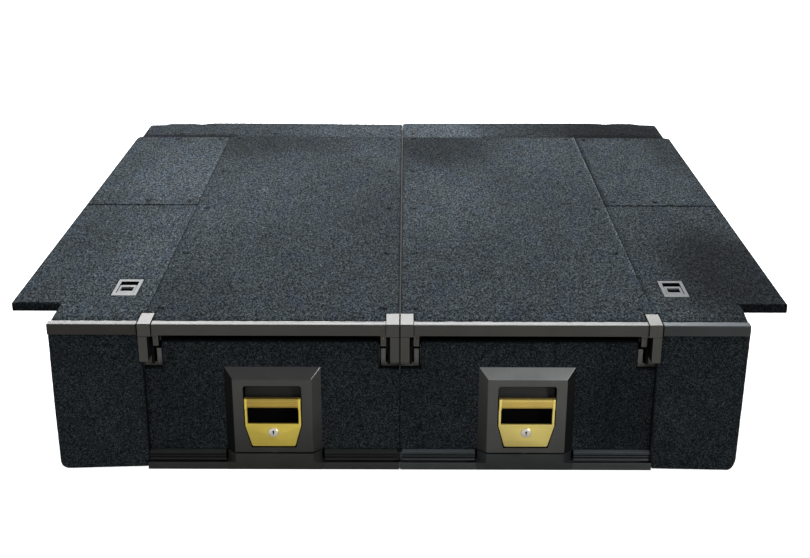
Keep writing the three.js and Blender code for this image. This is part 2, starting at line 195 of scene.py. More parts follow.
# ---------------------------------------------------------------- materials
# painted light and shade: soft spots, lighter or darker, that stand for uneven light on the carpet, board by board:
# centre x, y (from the front plane), radii, strength
PAINTED_LIGHT_PATCHES = {
    "left_lid": [(-440, 800, 190, 330, 0.20), (-470, 480, 120, 330, 0.08), (-20, 1180, 130, 260, 0.16), (-240, 900, 260, 330, 0.10),
                 (-430, 1230, 110, 190, -0.22), (-330, 1290, 170, 130, -0.26), (-440, 150, 120, 160, -0.20), (-40, 560, 110, 420, -0.12)],
    "right_lid": [(90, 760, 150, 300, 0.34), (420, 1190, 190, 260, 0.26), (100, 1250, 170, 200, -0.44), (330, 130, 300, 200, -0.06)],
    "left_hatch": [(-520, 600, 120, 330, 0.22), (-600, 240, 160, 220, 0.10), (-720, 330, 80, 330, -0.10)],
    "right_hatch": [(695, 260, 160, 330, -0.64), (610, 420, 110, 330, -0.13)],
    "left_wing": [(-560, 930, 160, 300, 0.34), (-600, 1200, 160, 200, 0.10)],
    "right_wing": [(620, 960, 150, 260, 0.12), (740, 1200, 60, 240, -0.30)],
    "left_front": [(-430, 130, 80, 130, -0.16), (-80, 130, 60, 120, 0.08)],
    "right_front": [(430, 130, 90, 130, -0.30), (70, 130, 60, 120, -0.06)],
    "left_filler": [(-90, 1440, 230, 160, 0.50), (-640, 1440, 130, 160, -0.12)],
    "right_filler": [(110, 1440, 170, 160, 0.70), (620, 1440, 230, 160, -0.76), (350, 1440, 150, 160, -0.24)],
}


def carpet(name, dark, mid, light, spread, flecks, fine_f=520.0, clump_f=250.0, clump_w=0.40, along=0.42, cell=250.0):
    """Needle-punched marine carpet: tangled tufts, stray pale fibres, a faint heather; the mesh carries a tone per
    point, tuft mottling together with painted light and shade.
    """
    m, nt, b = material(name, Roughness=0.97, Specular_IOR_Level=0.03, Sheen_Weight=0.008, Sheen_Roughness=0.6)
    v = coords(nt, (1, along, 1))
    fine = noise(nt, v, fine_f, 1.0, 0.6, 0.7)
    clump = noise(nt, v, clump_f, 1.0, 0.6, 0.5)
    tuft = math_(nt, "ADD", math_(nt, "MULTIPLY", fine, 1 - clump_w), math_(nt, "MULTIPLY", clump, clump_w))
    col = ramp(nt, tuft, [(0.5 - spread, dark), (0.5, mid), (0.5 + spread, light)])
    # faint blue, green and brown heather of the recycled fibre
    hue = noise(nt, v, 26.0, 3.0, 0.6)
    col = mix(nt, 0.45, col, ramp(nt, hue, [(0.36, (0.44, 0.49, 0.60)), (0.5, (0.5, 0.5, 0.5)), (0.64, (0.52, 0.51, 0.46))]), "SOFT_LIGHT")
    # stray pale fibres lying across the tufts, two ways
    pale = tuple(min(1.0, c * flecks) for c in light)
    for turn, at, share in (((0.15, 0.2, 0.45), (0.011, 0.023, 0.005), 0.20), ((-0.2, 0.1, -0.55), (0.037, 0.002, 0.019), 0.16)):
        one = fibres(nt, coords(nt, (1, along, 0.8), at, turn), cell, share, 0.46)
        col = mix(nt, one, col, pale)
    # the per-point tone multiplies the colour: tuft mottling, and painted shade and highlights at rims, seams, dimples
    # and soft spots
    tone_and_shade = add(nt, "ShaderNodeAttribute", attribute_name="pile").outputs["Fac"]
    grey = add(nt, "ShaderNodeCombineColor", {0: tone_and_shade, 1: tone_and_shade, 2: tone_and_shade}).outputs["Color"]
    col = mix(nt, 1.0, col, grey, "MULTIPLY")
    link(nt, col, b.inputs["Base Color"])
    h = math_(nt, "ADD", tuft, math_(nt, "MULTIPLY", noise(nt, v, 900.0, 1.0), 0.4))
    bump(nt, b, h, 0.6, 0.0015)
    return m


def metal(name, colour, rough, metallic, grain_axis, spread=0.06, scratches=0.4, tint=0.1, coat=0.0):
    """Anodised or rolled metal: fine die lines along one axis, cloudy sheen, slight colour drift."""
    m, nt, b = material(name, Metallic=metallic, Specular_IOR_Level=0.5, Coat_Weight=coat)
    st = {"x": (6, 900, 900), "y": (900, 6, 900), "z": (900, 900, 6), "none": (240, 240, 240)}[grain_axis]
    grain = noise(nt, coords(nt, st), 1.0, 3.0, 0.6)
    cloud = noise(nt, coords(nt), 14.0, 4.0, 0.55)
    r = math_(nt, "ADD", rng_map(nt, grain, 0.3, 0.7, rough - spread, rough + spread), rng_map(nt, cloud, 0.3, 0.7, -spread * 0.5, spread * 0.5))
    link(nt, r, b.inputs["Roughness"])
    lo = tuple(c * (1 - tint) for c in colour)
    hi = tuple(min(1.0, c * (1 + tint)) for c in colour)
    col = ramp(nt, math_(nt, "ADD", math_(nt, "MULTIPLY", cloud, 0.6), math_(nt, "MULTIPLY", grain, 0.4)), [(0.35, lo), (0.65, hi)])
    link(nt, col, b.inputs["Base Color"])
    bump(nt, b, grain, 0.10 * scratches / 0.4, 0.0002)
    return m


def moulded(name, colour, rough, peel=0.25, tint=0.12, spec=0.7):
    """Satin moulding or powder coat: orange-peel skin and slightly worn sheen."""
    m, nt, b = material(name, Specular_IOR_Level=spec)
    peel_n = noise(nt, coords(nt), 900.0, 2.0, 0.5)
    cloud = noise(nt, coords(nt), 22.0, 4.0, 0.6)
    link(nt, rng_map(nt, cloud, 0.3, 0.7, rough - 0.05, rough + 0.07), b.inputs["Roughness"])
    lo = tuple(c * (1 - tint) for c in colour)
    hi = tuple(c * (1 + tint) for c in colour)
    link(nt, ramp(nt, cloud, [(0.3, lo), (0.7, hi)]), b.inputs["Base Color"])
    bump(nt, b, peel_n, peel, 0.0003)
    return m


def plywood(name, film):
    """Film-faced plywood: fine wire-mark on the faces, veneers stained black round the edges."""
    m, nt, b = material(name, Specular_IOR_Level=0.4)
    geo = add(nt, "ShaderNodeNewGeometry")
    nz = math_(nt, "ABSOLUTE", add(nt, "ShaderNodeSeparateXYZ", {"Vector": geo.outputs["Normal"]}).outputs["Z"])
    v = coords(nt)
    faces = ramp(nt, noise(nt, coords(nt, (3, 40, 3)), 6.0, 4.0, 0.6), [(0.3, tuple(c * 0.8 for c in film)), (0.7, tuple(c * 1.3 for c in film))])
    z = add(nt, "ShaderNodeSeparateXYZ", {"Vector": v}).outputs["Z"]
    band = math_(nt, "PINGPONG", math_(nt, "MULTIPLY", z, 1000.0 / 1.5), 1.0)
    veneer = ramp(nt, band, [(0.35, (0.030, 0.022, 0.016)), (0.6, (0.014, 0.010, 0.008))])
    veneer = mix(nt, 0.35, veneer, ramp(nt, noise(nt, coords(nt, (20, 20, 900)), 4.0, 3.0, 0.6), [(0.3, (0.2, 0.2, 0.2)), (0.7, (0.8, 0.8, 0.8))]), "OVERLAY")
    edge = rng_map(nt, nz, 0.45, 0.75, 1.0, 0.0)
    link(nt, mix(nt, edge, faces, veneer), b.inputs["Base Color"])
    link(nt, rng_map(nt, edge, 0.0, 1.0, 0.42, 0.85), b.inputs["Roughness"])
    bump(nt, b, noise(nt, v, 420.0, 2.0), 0.25, 0.0004)
    return m


def plastic(name, colour, rough, spec=0.5):
    m, nt, b = material(name, Specular_IOR_Level=spec)
    n = noise(nt, coords(nt), 260.0, 3.0, 0.6)
    link(nt, ramp(nt, n, [(0.3, tuple(c * 0.75 for c in colour)), (0.7, tuple(c * 1.25 for c in colour))]), b.inputs["Base Color"])
    link(nt, rng_map(nt, n, 0.3, 0.7, rough - 0.08, rough + 0.08), b.inputs["Roughness"])
    bump(nt, b, noise(nt, coords(nt), 1400.0, 1.0), 0.2, 0.0002)
    return m


M = {
    "top": carpet("carpet_deck", (0.0085, 0.0110, 0.0130), (0.0265, 0.0335, 0.0395), (0.0730, 0.0890, 0.1005), 0.048, 1.74),
    "front": carpet("carpet_face", (0.0098, 0.0134, 0.0155), (0.0282, 0.0366, 0.0410), (0.0690, 0.0848, 0.0915), 0.060, 1.78, 560.0, 280.0, 0.38, 1.0, 300.0),
    "liner": carpet("carpet_liner", (0.008, 0.009, 0.010), (0.022, 0.024, 0.026), (0.050, 0.052, 0.055), 0.07, 1.6, 520.0, 230.0, 0.4, 1.0, 300.0),
    "anod": metal("anodised_gunmetal", (0.057, 0.0558, 0.0522), 0.33, 0.92, "x"),
    "anod_z": metal("anodised_gunmetal_ends", (0.066, 0.0655, 0.062), 0.36, 0.92, "z"),
    # darker copies of the gunmetal for the hatch trims, the right one bluer: painted shade
    "anod_shaded_r": metal("anodised_gunmetal_shaded_right_hatch", (0.039, 0.0415, 0.0435), 0.42, 0.92, "x"),
    "anod_shaded_l": metal("anodised_gunmetal_shaded_left_hatch", (0.031, 0.0300, 0.0280), 0.28, 0.90, "x"),
    "rail": metal("anodised_rail", (0.075, 0.075, 0.071), 0.40, 0.92, "y"),
        "moulding": moulded("satin_moulding", (0.038, 0.0385, 0.0360), 0.34),
    # sill, kick rail and ledge: the left copies shaded, the right ones lighter and bluer, the ledges lighter and less
    # metallic as lit tops: painted light and shade
    "sill_left": metal("anodised_sill_shaded_left", (0.088, 0.092, 0.092), 0.42, 0.85, "x"),
    "sill_right": metal("anodised_sill_lit_right", (0.124, 0.131, 0.132), 0.42, 0.85, "x"),
    "kick_left": metal("anodised_kick_shaded_left", (0.042, 0.044, 0.043), 0.42, 0.85, "x"),
    "kick_right": metal("anodised_kick_lit_right", (0.078, 0.091, 0.098), 0.42, 0.85, "x"),
    "ledge_left": metal("anodised_ledge_lit_top_left", (0.060, 0.064, 0.064), 0.55, 0.15, "x"),
    "ledge_right": metal("anodised_ledge_lit_top_right", (0.172, 0.199, 0.210), 0.55, 0.15, "x"),
    # copies of the moulding: the right foot and the right bezel lighter (painted light), the bezel flanks darker
    # (painted shade), the right bezel's top chamfer a painted highlight, the recess behind the grip darker (painted
    # shade)
    "moulding_lit_foot": moulded("satin_moulding_lit_foot", (0.0385, 0.0440, 0.0470), 0.34),
    "moulding_shaded_flank": moulded("satin_moulding_shaded_flank", (0.022, 0.0222, 0.0215), 0.42),
    "moulding_dark": moulded("satin_moulding_shade", (0.0060, 0.0064, 0.0064), 0.55, spec=0.12),
    "moulding_lit_right": moulded("satin_moulding_lit_right", (0.098, 0.100, 0.096), 0.36),
    "moulding_painted_highlight": moulded("satin_moulding_painted_highlight", (0.385, 0.400, 0.400), 0.42),
    "recess": moulded("satin_moulding_recess_shade", (0.0105, 0.0110, 0.0105), 0.50, spec=0.35),
    # a darker copy for the grooves of the kick rail: painted shade
    "groove_shade": metal("anodised_groove_shade", (0.018, 0.019, 0.018), 0.45, 0.80, "x"),
    "gold_grip": metal("gold_grip", (0.620, 0.445, 0.100), 0.36, 0.80, "x", 0.05, 0.6, 0.10),
    # lighter copies of the gold for the right handle: painted light
    "gold_lit_right": metal("gold_anodised_lit_right", (1.0, 0.815, 0.270), 0.48, 0.98, "x", 0.05, 0.5, 0.05),
    "grip_lit_right": metal("gold_grip_lit_right", (0.820, 0.620, 0.165), 0.38, 0.65, "x", 0.05, 0.6, 0.10),
    # lighter copies of the gunmetal for the tops of the trims: painted light
    "anod_lit_top": metal("anodised_gunmetal_lit_top", (0.070, 0.0705, 0.0700), 0.33, 0.92, "x"),
    "anod_lit_top_l": metal("anodised_gunmetal_lit_top_left_hatch", (0.058, 0.0585, 0.0575), 0.28, 0.90, "x"),
    "anod_lit_top_r": metal("anodised_gunmetal_lit_top_right_hatch", (0.075, 0.0860, 0.0950), 0.42, 0.92, "x"),
    "bead": plastic("joint_bead", (0.30, 0.29, 0.27), 0.70),
    # a lighter, less metallic copy for the rail ends in the recess: painted light
    "rail_end_lit": metal("rail_end_painted_lit", (0.23, 0.23, 0.22), 0.50, 0.45, "z"),
    # near black for the slot flanks of the caps and the channel mouths: painted shade
    "slot_shade": plastic("black_slot_shade", (0.0045, 0.0045, 0.0042), 0.80, 0.12),
    # near black where the handle pans, pivot bumps, latch rims and keyways lie in shade: painted shade
    "shade_black": plastic("black_painted_shade", (0.0026, 0.0026, 0.0028), 0.92, 0.06),
    "gold": metal("gold_anodised", (1.0, 0.770, 0.150), 0.50, 0.86, "x", 0.05, 0.5, 0.06),
    "chrome": metal("lock_chrome", (1.0, 0.950, 0.870), 0.30, 0.9, "none", 0.03, 0.2, 0.03),
    "silver_left": metal("satin_silver", (0.172, 0.180, 0.184), 0.58, 0.45, "y", 0.05, 0.5, 0.05),
    "silver_right": metal("satin_silver_shade", (0.108, 0.117, 0.122), 0.58, 0.45, "y", 0.05, 0.5, 0.05),
    "tray": moulded("tray_powder_coat", (0.030, 0.031, 0.032), 0.50, 0.4),
    "mill": metal("mill_aluminium", (0.25, 0.257, 0.264), 0.60, 0.75, "y", 0.08, 0.6, 0.08),
    "zinc": metal("zinc_plate", (0.50, 0.51, 0.52), 0.32, 1.0, "z", 0.06, 0.5, 0.06),
    "nylon": plastic("black_nylon", (0.014, 0.014, 0.015), 0.45),
    "black": plastic("black_oxide", (0.008, 0.008, 0.009), 0.50),
    "rubber": plastic("black_rubber", (0.008, 0.008, 0.008), 0.75),
    "brass": metal("brass_screw", (0.42, 0.30, 0.14), 0.32, 1.0, "none", 0.04, 0.3, 0.08),
    "ply": plywood("film_faced_ply", (0.018, 0.014, 0.012)),
}


# ---------------------------------------------------------------- mesh helpers
def new_object(name, verts, faces, mats, mat_ids=None, smooth=True):
    me = bpy.data.meshes.new(name)
    me.from_pydata([tuple(v) for v in verts], [], faces)
    for m in mats:
        me.materials.append(m)
    if mat_ids is not None:
        me.polygons.foreach_set("material_index", np.asarray(mat_ids, np.int32))
    me.polygons.foreach_set("use_smooth", np.full(len(me.polygons), smooth))
    me.validate()
    me.update()
    o = bpy.data.objects.new(name, me)
    bpy.context.scene.collection.objects.link(o)
    return o


def from_bmesh(name, bm, mats):
    me = bpy.data.meshes.new(name)
    bm.to_mesh(me)
    bm.free()
    for old in ("custom_normal", "sharp_edge", "sharp_face"):
        if old in me.attributes:
            me.attributes.remove(me.attributes[old])
    for m in mats:
        me.materials.append(m)
    o = bpy.data.objects.new(name, me)
    bpy.context.scene.collection.objects.link(o)
    return o


def soften(o, width=0.6, segments=3, angle=28):
    """Rounded edges that keep the flat faces flat."""
    o.data.polygons.foreach_set("use_smooth", np.full(len(o.data.polygons), True))
    bv = o.modifiers.new("round", "BEVEL")
    bv.width = width / 1000.0
    bv.segments = segments
    bv.limit_method = "ANGLE"
    bv.angle_limit = math.radians(angle)
    bv.use_clamp_overlap = True
    bv.harden_normals = True
    dg = bpy.context.evaluated_depsgraph_get()
    me = bpy.data.meshes.new_from_object(o.evaluated_get(dg), depsgraph=dg)
    old = o.data
    o.modifiers.clear()
    o.data = me
    bpy.data.meshes.remove(old)
    return o


def clean_copy(node):
    bm = bmesh.new()
    bm.from_mesh(NODES[node].data)
    bmesh.ops.remove_doubles(bm, verts=bm.verts, dist=2e-6)
    bmesh.ops.dissolve_limit(bm, angle_limit=math.radians(0.4), verts=bm.verts, edges=bm.edges)
    return bm


def place(o, slot, *nodes, body=None):
    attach(o, body or BODY_OF[nodes[0]])
    if nodes:
        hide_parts(*nodes)
    return o


def round_some(bm, rounds):
    """A radius of its own for some edges: rounds lists (test, radius, segments), and test takes the two ends of an
    edge in millimetres from the front plane."""
    for test, radius, segs in rounds:
        pick = []
        for e in bm.edges:
            p, q = (tuple((v.co.x * 1000, v.co.y * 1000 + YC, v.co.z * 1000)) for v in e.verts)
            if len(e.link_faces) == 2 and e.calc_face_angle(0.0) > 0.2 and test(p, q):
                pick.append(e)
        if pick:
            bmesh.ops.bevel(bm, geom=pick, offset=radius / 1000.0, offset_type="OFFSET", segments=segs, profile=0.5, affect="EDGES", clamp_overlap=True)


def stand_in(node, mat, slot, width=0.6, segments=3, angle=28, split_z=None, rounds=(), convex=False):
    """A softened copy of a frame node, in its own place."""
    bm = clean_copy(node)
    if convex:                # a rim that runs round a corner is split at the corner
        bmesh.ops.connect_verts_concave(bm, faces=[f for f in bm.faces if len(f.verts) > 4])
    round_some(bm, rounds)
    if split_z is not None:   # a fine joint line between an upper and a lower part
        whole = bm
        bm = bmesh.new()
        for keep_up in (False, True):
            part = whole.copy()
            z = (split_z + (0.14 if keep_up else -0.14)) / 1000.0
            geo = part.verts[:] + part.edges[:] + part.faces[:]
            bmesh.ops.bisect_plane(part, geom=geo, dist=1e-7, plane_co=(0, 0, z), plane_no=(0, 0, 1),
                                   clear_inner=keep_up, clear_outer=not keep_up)
            bmesh.ops.holes_fill(part, edges=[e for e in part.edges if e.is_boundary], sides=0)
            tmp = bpy.data.meshes.new("part")
            part.to_mesh(tmp)
            part.free()
            bm.from_mesh(tmp)
            bpy.data.meshes.remove(tmp)
        whole.free()
        bmesh.ops.recalc_face_normals(bm, faces=bm.faces)
    o = from_bmesh(node + "_body", bm, [mat])
    soften(o, width, segments, angle)
    return place(o, slot, node)


def refinish(o, mat, test):
    """Gives the faces for which test(centre, normal) holds another finish; lengths in millimetres from the front plane."""
    o.data.materials.append(mat)
    k = len(o.data.materials) - 1
    for f in o.data.polygons:
        c = f.center
        if test((c.x * 1000, c.y * 1000 + YC, c.z * 1000), f.normal):
            f.material_index = k
    return o


def fillet(points, n=3):
    """points are (y, z, radius); the corners with a radius are rounded."""
    out = []
    k = len(points)
    for i, (py, pz, r) in enumerate(points):
        if r <= 0:
            out.append((py, pz))
            continue
        a, b = Vector(points[i - 1][:2]), Vector(points[(i + 1) % k][:2])
        p = Vector((py, pz))
        u, v = (a - p).normalized(), (b - p).normalized()
        half = u.angle(v) / 2
        d = min(r / math.tan(half), (a - p).length * 0.48, (b - p).length * 0.48)
        r = d * math.tan(half)
        centre = p + (u + v).normalized() * (r / math.sin(half))
        s, e = p + u * d - centre, p + v * d - centre
        for j in range(n + 1):
            t = j / n
            w = (s * (1 - t) + e * t).normalized() * r
            out.append(tuple(centre + w))
    return out


def inset(poly, d):
    """The outline moved in by d, for a chamfered end."""
    k = len(poly)
    area = sum(poly[i][0] * poly[(i + 1) % k][1] - poly[(i + 1) % k][0] * poly[i][1] for i in range(k))
    sign = 1 if area > 0 else -1
    out = []
    for i in range(k):
        a, p, b = Vector(poly[i - 1]), Vector(poly[i]), Vector(poly[(i + 1) % k])
        e0, e1 = (p - a).normalized(), (b - p).normalized()
        n0, n1 = Vector((-e0.y, e0.x)) * sign, Vector((-e1.y, e1.x)) * sign
        bis = (n0 + n1)
        bis = bis / max(0.35, bis.length_squared / 2)
        out.append(tuple(p + bis * d))
    return out


def prism_x(name, poly, x0, x1, mat, end=0.35):
    """An extruded section run along x, with its ends eased."""
    x0, x1 = min(x0, x1), max(x0, x1)
    small = inset(poly, end)
    k = len(poly)
    verts = []
    for x, sec in ((x0, small), (x0 + end, poly), (x1 - end, poly), (x1, small)):
        verts += [mm(x, p[0], p[1]) for p in sec]
    faces = []
    for r in range(3):
        for i in range(k):
            j = (i + 1) % k
            faces.append((r * k + i, r * k + j, (r + 1) * k + j, (r + 1) * k + i))
    faces += [tuple(range(k)), tuple(3 * k + i for i in reversed(range(k)))]
    bm = bmesh.new()
    vs = [bm.verts.new(v) for v in verts]
    for f in faces:
        bm.faces.new([vs[i] for i in f])
    bmesh.ops.recalc_face_normals(bm, faces=bm.faces)
    o = from_bmesh(name, bm, [mat])
    me = o.data
    me.polygons.foreach_set("use_smooth", np.full(len(me.polygons), True))
    wn = o.modifiers.new("flat", "WEIGHTED_NORMAL")
    wn.weight = 90
    dg = bpy.context.evaluated_depsgraph_get()
    new = bpy.data.meshes.new_from_object(o.evaluated_get(dg), depsgraph=dg)
    o.modifiers.clear()
    o.data = new
    return o


# ---------------------------------------------------------------- carpeted boards
def value_noise(x, y, cell, rng, size=512):
    """Smooth seeded noise, about -1 to 1, that changes over cell millimetres."""
    g = rng.uniform(-1, 1, (size, size))
    fx, fy = x / cell + 1000.0, y / cell + 1000.0
    ix, iy = np.floor(fx).astype(int), np.floor(fy).astype(int)
    tx, ty = fx - ix, fy - iy
    tx, ty = tx * tx * (3 - 2 * tx), ty * ty * (3 - 2 * ty)
    a, b = g[ix % size, iy % size], g[(ix + 1) % size, iy % size]
    c, d = g[ix % size, (iy + 1) % size], g[(ix + 1) % size, (iy + 1) % size]
    return (a * (1 - tx) + b * tx) * (1 - ty) + (c * (1 - tx) + d * tx) * ty


def grid_lines(crit, pitch, r):
    crit = sorted(set(round(c, 3) for c in crit))
    out = [crit[0]]
    for a, b in zip(crit[:-1], crit[1:]):
        if b - a > 2.8 * r:
            n = max(1, round((b - a - 2 * r) / pitch))
            out += [a + 0.3 * r] + list(np.linspace(a + r, b - r, n + 1)) + [b - 0.3 * r]
        else:
            n = max(1, round((b - a) / pitch))
            out += list(np.linspace(a, b, n + 1)[1:-1])
        out.append(b)
    return np.array(out)


def inside(px, py, loops):
    hit = np.zeros(px.shape, bool)
    for loop in loops:
        for (x0, y0), (x1, y1) in zip(loop, loop[1:] + loop[:1]):
            if y0 == y1:
                continue
            cross = ((y0 > py) != (y1 > py)) & (px < (x1 - x0) * (py - y0) / (y1 - y0) + x0)
            hit ^= cross
    return hit


def edge_distance(px, py, loops):
    d = np.full(px.shape, 1e9)
    for loop in loops:
        for (x0, y0), (x1, y1) in zip(loop, loop[1:] + loop[:1]):
            ex, ey = x1 - x0, y1 - y0
            t = np.clip(((px - x0) * ex + (py - y0) * ey) / (ex * ex + ey * ey), 0, 1)
            d = np.minimum(d, np.hypot(px - x0 - t * ex, py - y0 - t * ey))
    return d


def soft(t):
    t = np.clip(t, 0, 1)
    return t * t * (3 - 2 * t)


def slab(name, loops, low, high, facing, seed, mats, pitch=3.4, r=2.4, nap=0.5, wave=0.45, warp=None, dimples=(), lips=(), tone=1.0,
         light_and_shade_spots=(), tight=(), light_and_shade_strips=()):
    """A carpeted board: a dense top sheet of tufts, rounded over at its edges, side walls and a plain underside.

    loops are the outline and its holes in (a, b); facing "top" puts a, b on x, y and height on z,
    "front" puts them on x, z with height towards the viewer. A lip (a0, a1, b, least, reach) is a stretch of
    front edge whose pile hangs over what lies before it, from the height least upwards. tight lists lines x = value
    where two boards close up, and a strip (axis, at, width, factor, start, end) paints shade, or a highlight, beside a
    line.
    The tone also carries painted shade over the rims, down the side walls and in the screw dimples, and soft spots of
    painted light and shade."""
    rng = np.random.default_rng(seed)
    xs = grid_lines([p[0] for l in loops for p in l], pitch, r)
    ys = grid_lines([p[1] for l in loops for p in l], pitch, r)
    gx, gy = np.meshgrid((xs[1:] + xs[:-1]) / 2, (ys[1:] + ys[:-1]) / 2, indexing="ij")
    cell = inside(gx, gy, loops)
    nx, ny = len(xs), len(ys)
    ci, cj = np.nonzero(cell)
    quad = np.stack([ci * ny + cj, (ci + 1) * ny + cj, (ci + 1) * ny + cj + 1, ci * ny + cj + 1], 1)
    used = np.unique(quad)
    remap = np.full(nx * ny, -1)
    remap[used] = np.arange(len(used))
    quad = remap[quad]
    a, b = xs[used // ny].copy(), ys[used % ny].copy()
    d = edge_distance(a, b, loops)
    rr = np.full(len(a), r)
    for line in tight:
        rr = np.where(np.abs(a - line) < 1.6 * r, 0.35 * r, rr)
    round_ = np.minimum(d, rr)
    h = high - rr + np.sqrt(np.maximum(0, rr * rr - (rr - round_) ** 2))
    deep = d > r * 1.05
    a[deep] += rng.uniform(-0.28, 0.28, deep.sum()) * pitch
    b[deep] += rng.uniform(-0.28, 0.28, deep.sum()) * pitch
    fade = np.clip(d / r, 0.0, 1)
    tuft = 0.62 * rng.uniform(-1, 1, len(a)) + 0.38 * value_noise(a, b, 8.0, rng)
    h += nap * fade * (tuft + 0.2 * value_noise(a, b, 60.0, rng))
    long = 0.42 if facing == "top" else 1.0
    shade = tone * (1 + 0.11 * tuft + 0.08 * value_noise(a, b * long, 17.0, rng) + 0.08 * value_noise(a, b * long, 38.0, rng)
                    + 0.05 * value_noise(a, b, 150.0, rng))
    # painted shade: the pile darkens over its rounded rim towards every board edge
    shade *= 0.62 + 0.38 * soft(d / (1.6 * rr))
    # painted light and shade: soft lighter or darker spots
    for cx, cy, ra, rb, amp in light_and_shade_spots:
        shade *= 1 + amp * soft(1.35 - np.hypot((a - cx) / ra, (b - cy) / rb))
    # painted shade, or a painted highlight where the factor is above 1, in a strip beside a seam
    for axis, at, width, factor, start, end in light_and_shade_strips:
        q, other = (a, b) if axis == "x" else (b, a)
        lo_, hi_ = min(start, end), max(start, end)
        run = soft((other - lo_) / 60.0) * soft((hi_ - other) / 60.0)
        shade *= 1 + (factor - 1) * run * np.clip(1 - np.abs(q - at) / width, 0, 1)
    # the cut edge of the carpet wanders a little, always inwards
    w = np.clip(1 - d / (2.2 * r), 0, 1) * wave * np.where(rr < r, 0.3, 1.0)
    ca, cb = np.mean([p[0] for p in loops[0]]), np.mean([p[1] for p in loops[0]])
    a -= w * np.sign(a - ca) * (0.5 + 0.5 * value_noise(a, b, 7.0, rng))
    b -= w * np.sign(b - cb) * (0.5 + 0.5 * value_noise(a, b, 7.0, rng))
    # screw dimples: the pile sinks round each head and is darkened there, painted shade
    for (sx, sy, wide, deep_mm) in dimples:
        q = np.hypot((a - sx) / wide, (b - sy) / wide)
        h -= deep_mm * np.exp(-(q ** 2) * 1.6)
        shade *= 1 - 0.94 * np.exp(-(q ** 2) * 0.8)
    a0, b0, tucked = a.copy(), b.copy(), np.zeros(len(a), bool)
    for (l0, l1, lb, least, reach) in lips:
        l0, l1 = min(l0, l1), max(l0, l1)
        dist = np.abs(b - lb)
        near = (a > l0 - 0.01) & (a < l1 + 0.01) & (dist < 15.0)
        k = soft(1 - dist / 9.0) * soft((a - l0) / 6.0) * soft((l1 - a) / 6.0)
        hang = reach * np.clip(0.40 + 0.45 * value_noise(a, 0 * a, 12.0, rng) + 0.35 * value_noise(a, 0 * a, 5.0, rng), 0, 1.2)
        rim_h = least + rng.uniform(0, 0.2, len(a))
        flat_h = rim_h + (h - rim_h) * soft(dist / 15.0)
        h = np.where(near, np.where(dist < r, np.maximum(flat_h, rim_h), flat_h), h)
        b = np.where(near, b - k * hang, b)
        tucked |= near & (np.abs(b0 - lb) < 2.0)
    # boundary edges of the sheet, in order
    ab = np.concatenate([quad[:, [0, 1]], quad[:, [1, 2]], quad[:, [2, 3]], quad[:, [3, 0]]])
    key = {}
    for p, q in ab.tolist():
        key[(p, q)] = True
    nxt = {p: q for (p, q) in key if (q, p) not in key}
    chains = []
    left = dict(nxt)
    while left:
        s = next(iter(left))
        chain = [s]
        while True:
            q = left.pop(chain[-1])
            if q == s:
                break
            chain.append(q)
        chains.append(chain)
    verts = [np.stack([a, b, h], 1)]
    tone_and_shade = [shade]
    faces = quad.tolist()
    count = len(a)
    depth = high - r - low
    n_rows = max(3, int(round(depth / 3.6)) + 1)
    bottoms = []
    for chain in chains:
        base = np.array(chain)
        pa, pb, ph, tk = a0[base], b0[base], h[base], tucked[base]
        da, db = np.roll(pa, -1) - np.roll(pa, 1), np.roll(pb, -1) - np.roll(pb, 1)
        ln = np.hypot(da, db) + 1e-9
        oa, ob = db / ln, -da / ln                       # outward
        prev = base
        for k in range(1, n_rows + 1):
            t = k / n_rows
            hh = ph * (1 - t) + low * t
            if k == 1:
                hh = np.where(tk, ph - 0.12, hh)
            off = -rng.uniform(0.0, 0.5, len(base)) * min(1.0, nap) if k < n_rows else np.full(len(base), -0.6)
            row = np.stack([pa + oa * off, pb + ob * off, hh], 1)
            ids = np.arange(count, count + len(base))
            verts.append(row)
            # side walls take half the tone and darken towards the foot: painted shade in the gaps between boards
            tone_and_shade.append(0.50 * tone * rng.uniform(0.8, 1.15, len(base)) * (1 - 0.3 * t))
            count += len(base)
            pn, idn = np.roll(prev, -1), np.roll(ids, -1)
            faces += np.stack([pn, prev, ids, idn], 1).tolist()
            prev = ids
        bottoms.append(prev)
    n_carpet = len(faces)
    verts = np.concatenate(verts)
    # underside, from the last rows alone
    pts, seg, back = [], [], []
    for ids in bottoms:
        base = len(pts)
        for k, i in enumerate(ids):
            pts.append(Vector((float(verts[i, 0]), float(verts[i, 1]))))
            back.append(int(i))
            seg.append((base + k, base + (k + 1) % len(ids)))
    out_v, _, out_f, orig_v, _, _ = delaunay_2d_cdt(pts, seg, [], 0, 1e-6)
    tri = np.array(out_f)
    vv = np.array([(p.x, p.y) for p in out_v])
    cen = vv[tri].mean(1)
    ring = [[(float(verts[i, 0]), float(verts[i, 1])) for i in ids] for ids in bottoms]
    keep = inside(cen[:, 0], cen[:, 1], ring)
    of = [back[o[0]] if o else -1 for o in orig_v]
    for f in tri[keep]:
        q = [of[i] for i in f]
        if min(q) < 0 or len(set(q)) < 3:
            continue
        p0, p1, p2 = verts[q[0]], verts[q[1]], verts[q[2]]
        area = (p1[0] - p0[0]) * (p2[1] - p0[1]) - (p1[1] - p0[1]) * (p2[0] - p0[0])
        faces.append(q[::-1] if area > 0 else q)
    if warp is not None:
        verts[:, 0], verts[:, 1] = warp(verts[:, 0], verts[:, 1])
    if facing == "top":
        world = np.stack([verts[:, 0], verts[:, 1] - YC, verts[:, 2]], 1) / 1000.0
    else:
        world = np.stack([verts[:, 0], -verts[:, 2] - YC, verts[:, 1]], 1) / 1000.0
    ids = np.zeros(len(faces), np.int32)
    ids[n_carpet:] = 1
    o = new_object(name, world.tolist(), faces, mats, ids)
    flat = np.full(len(faces), True)
    flat[n_carpet:] = False
    o.data.polygons.foreach_set("use_smooth", flat)
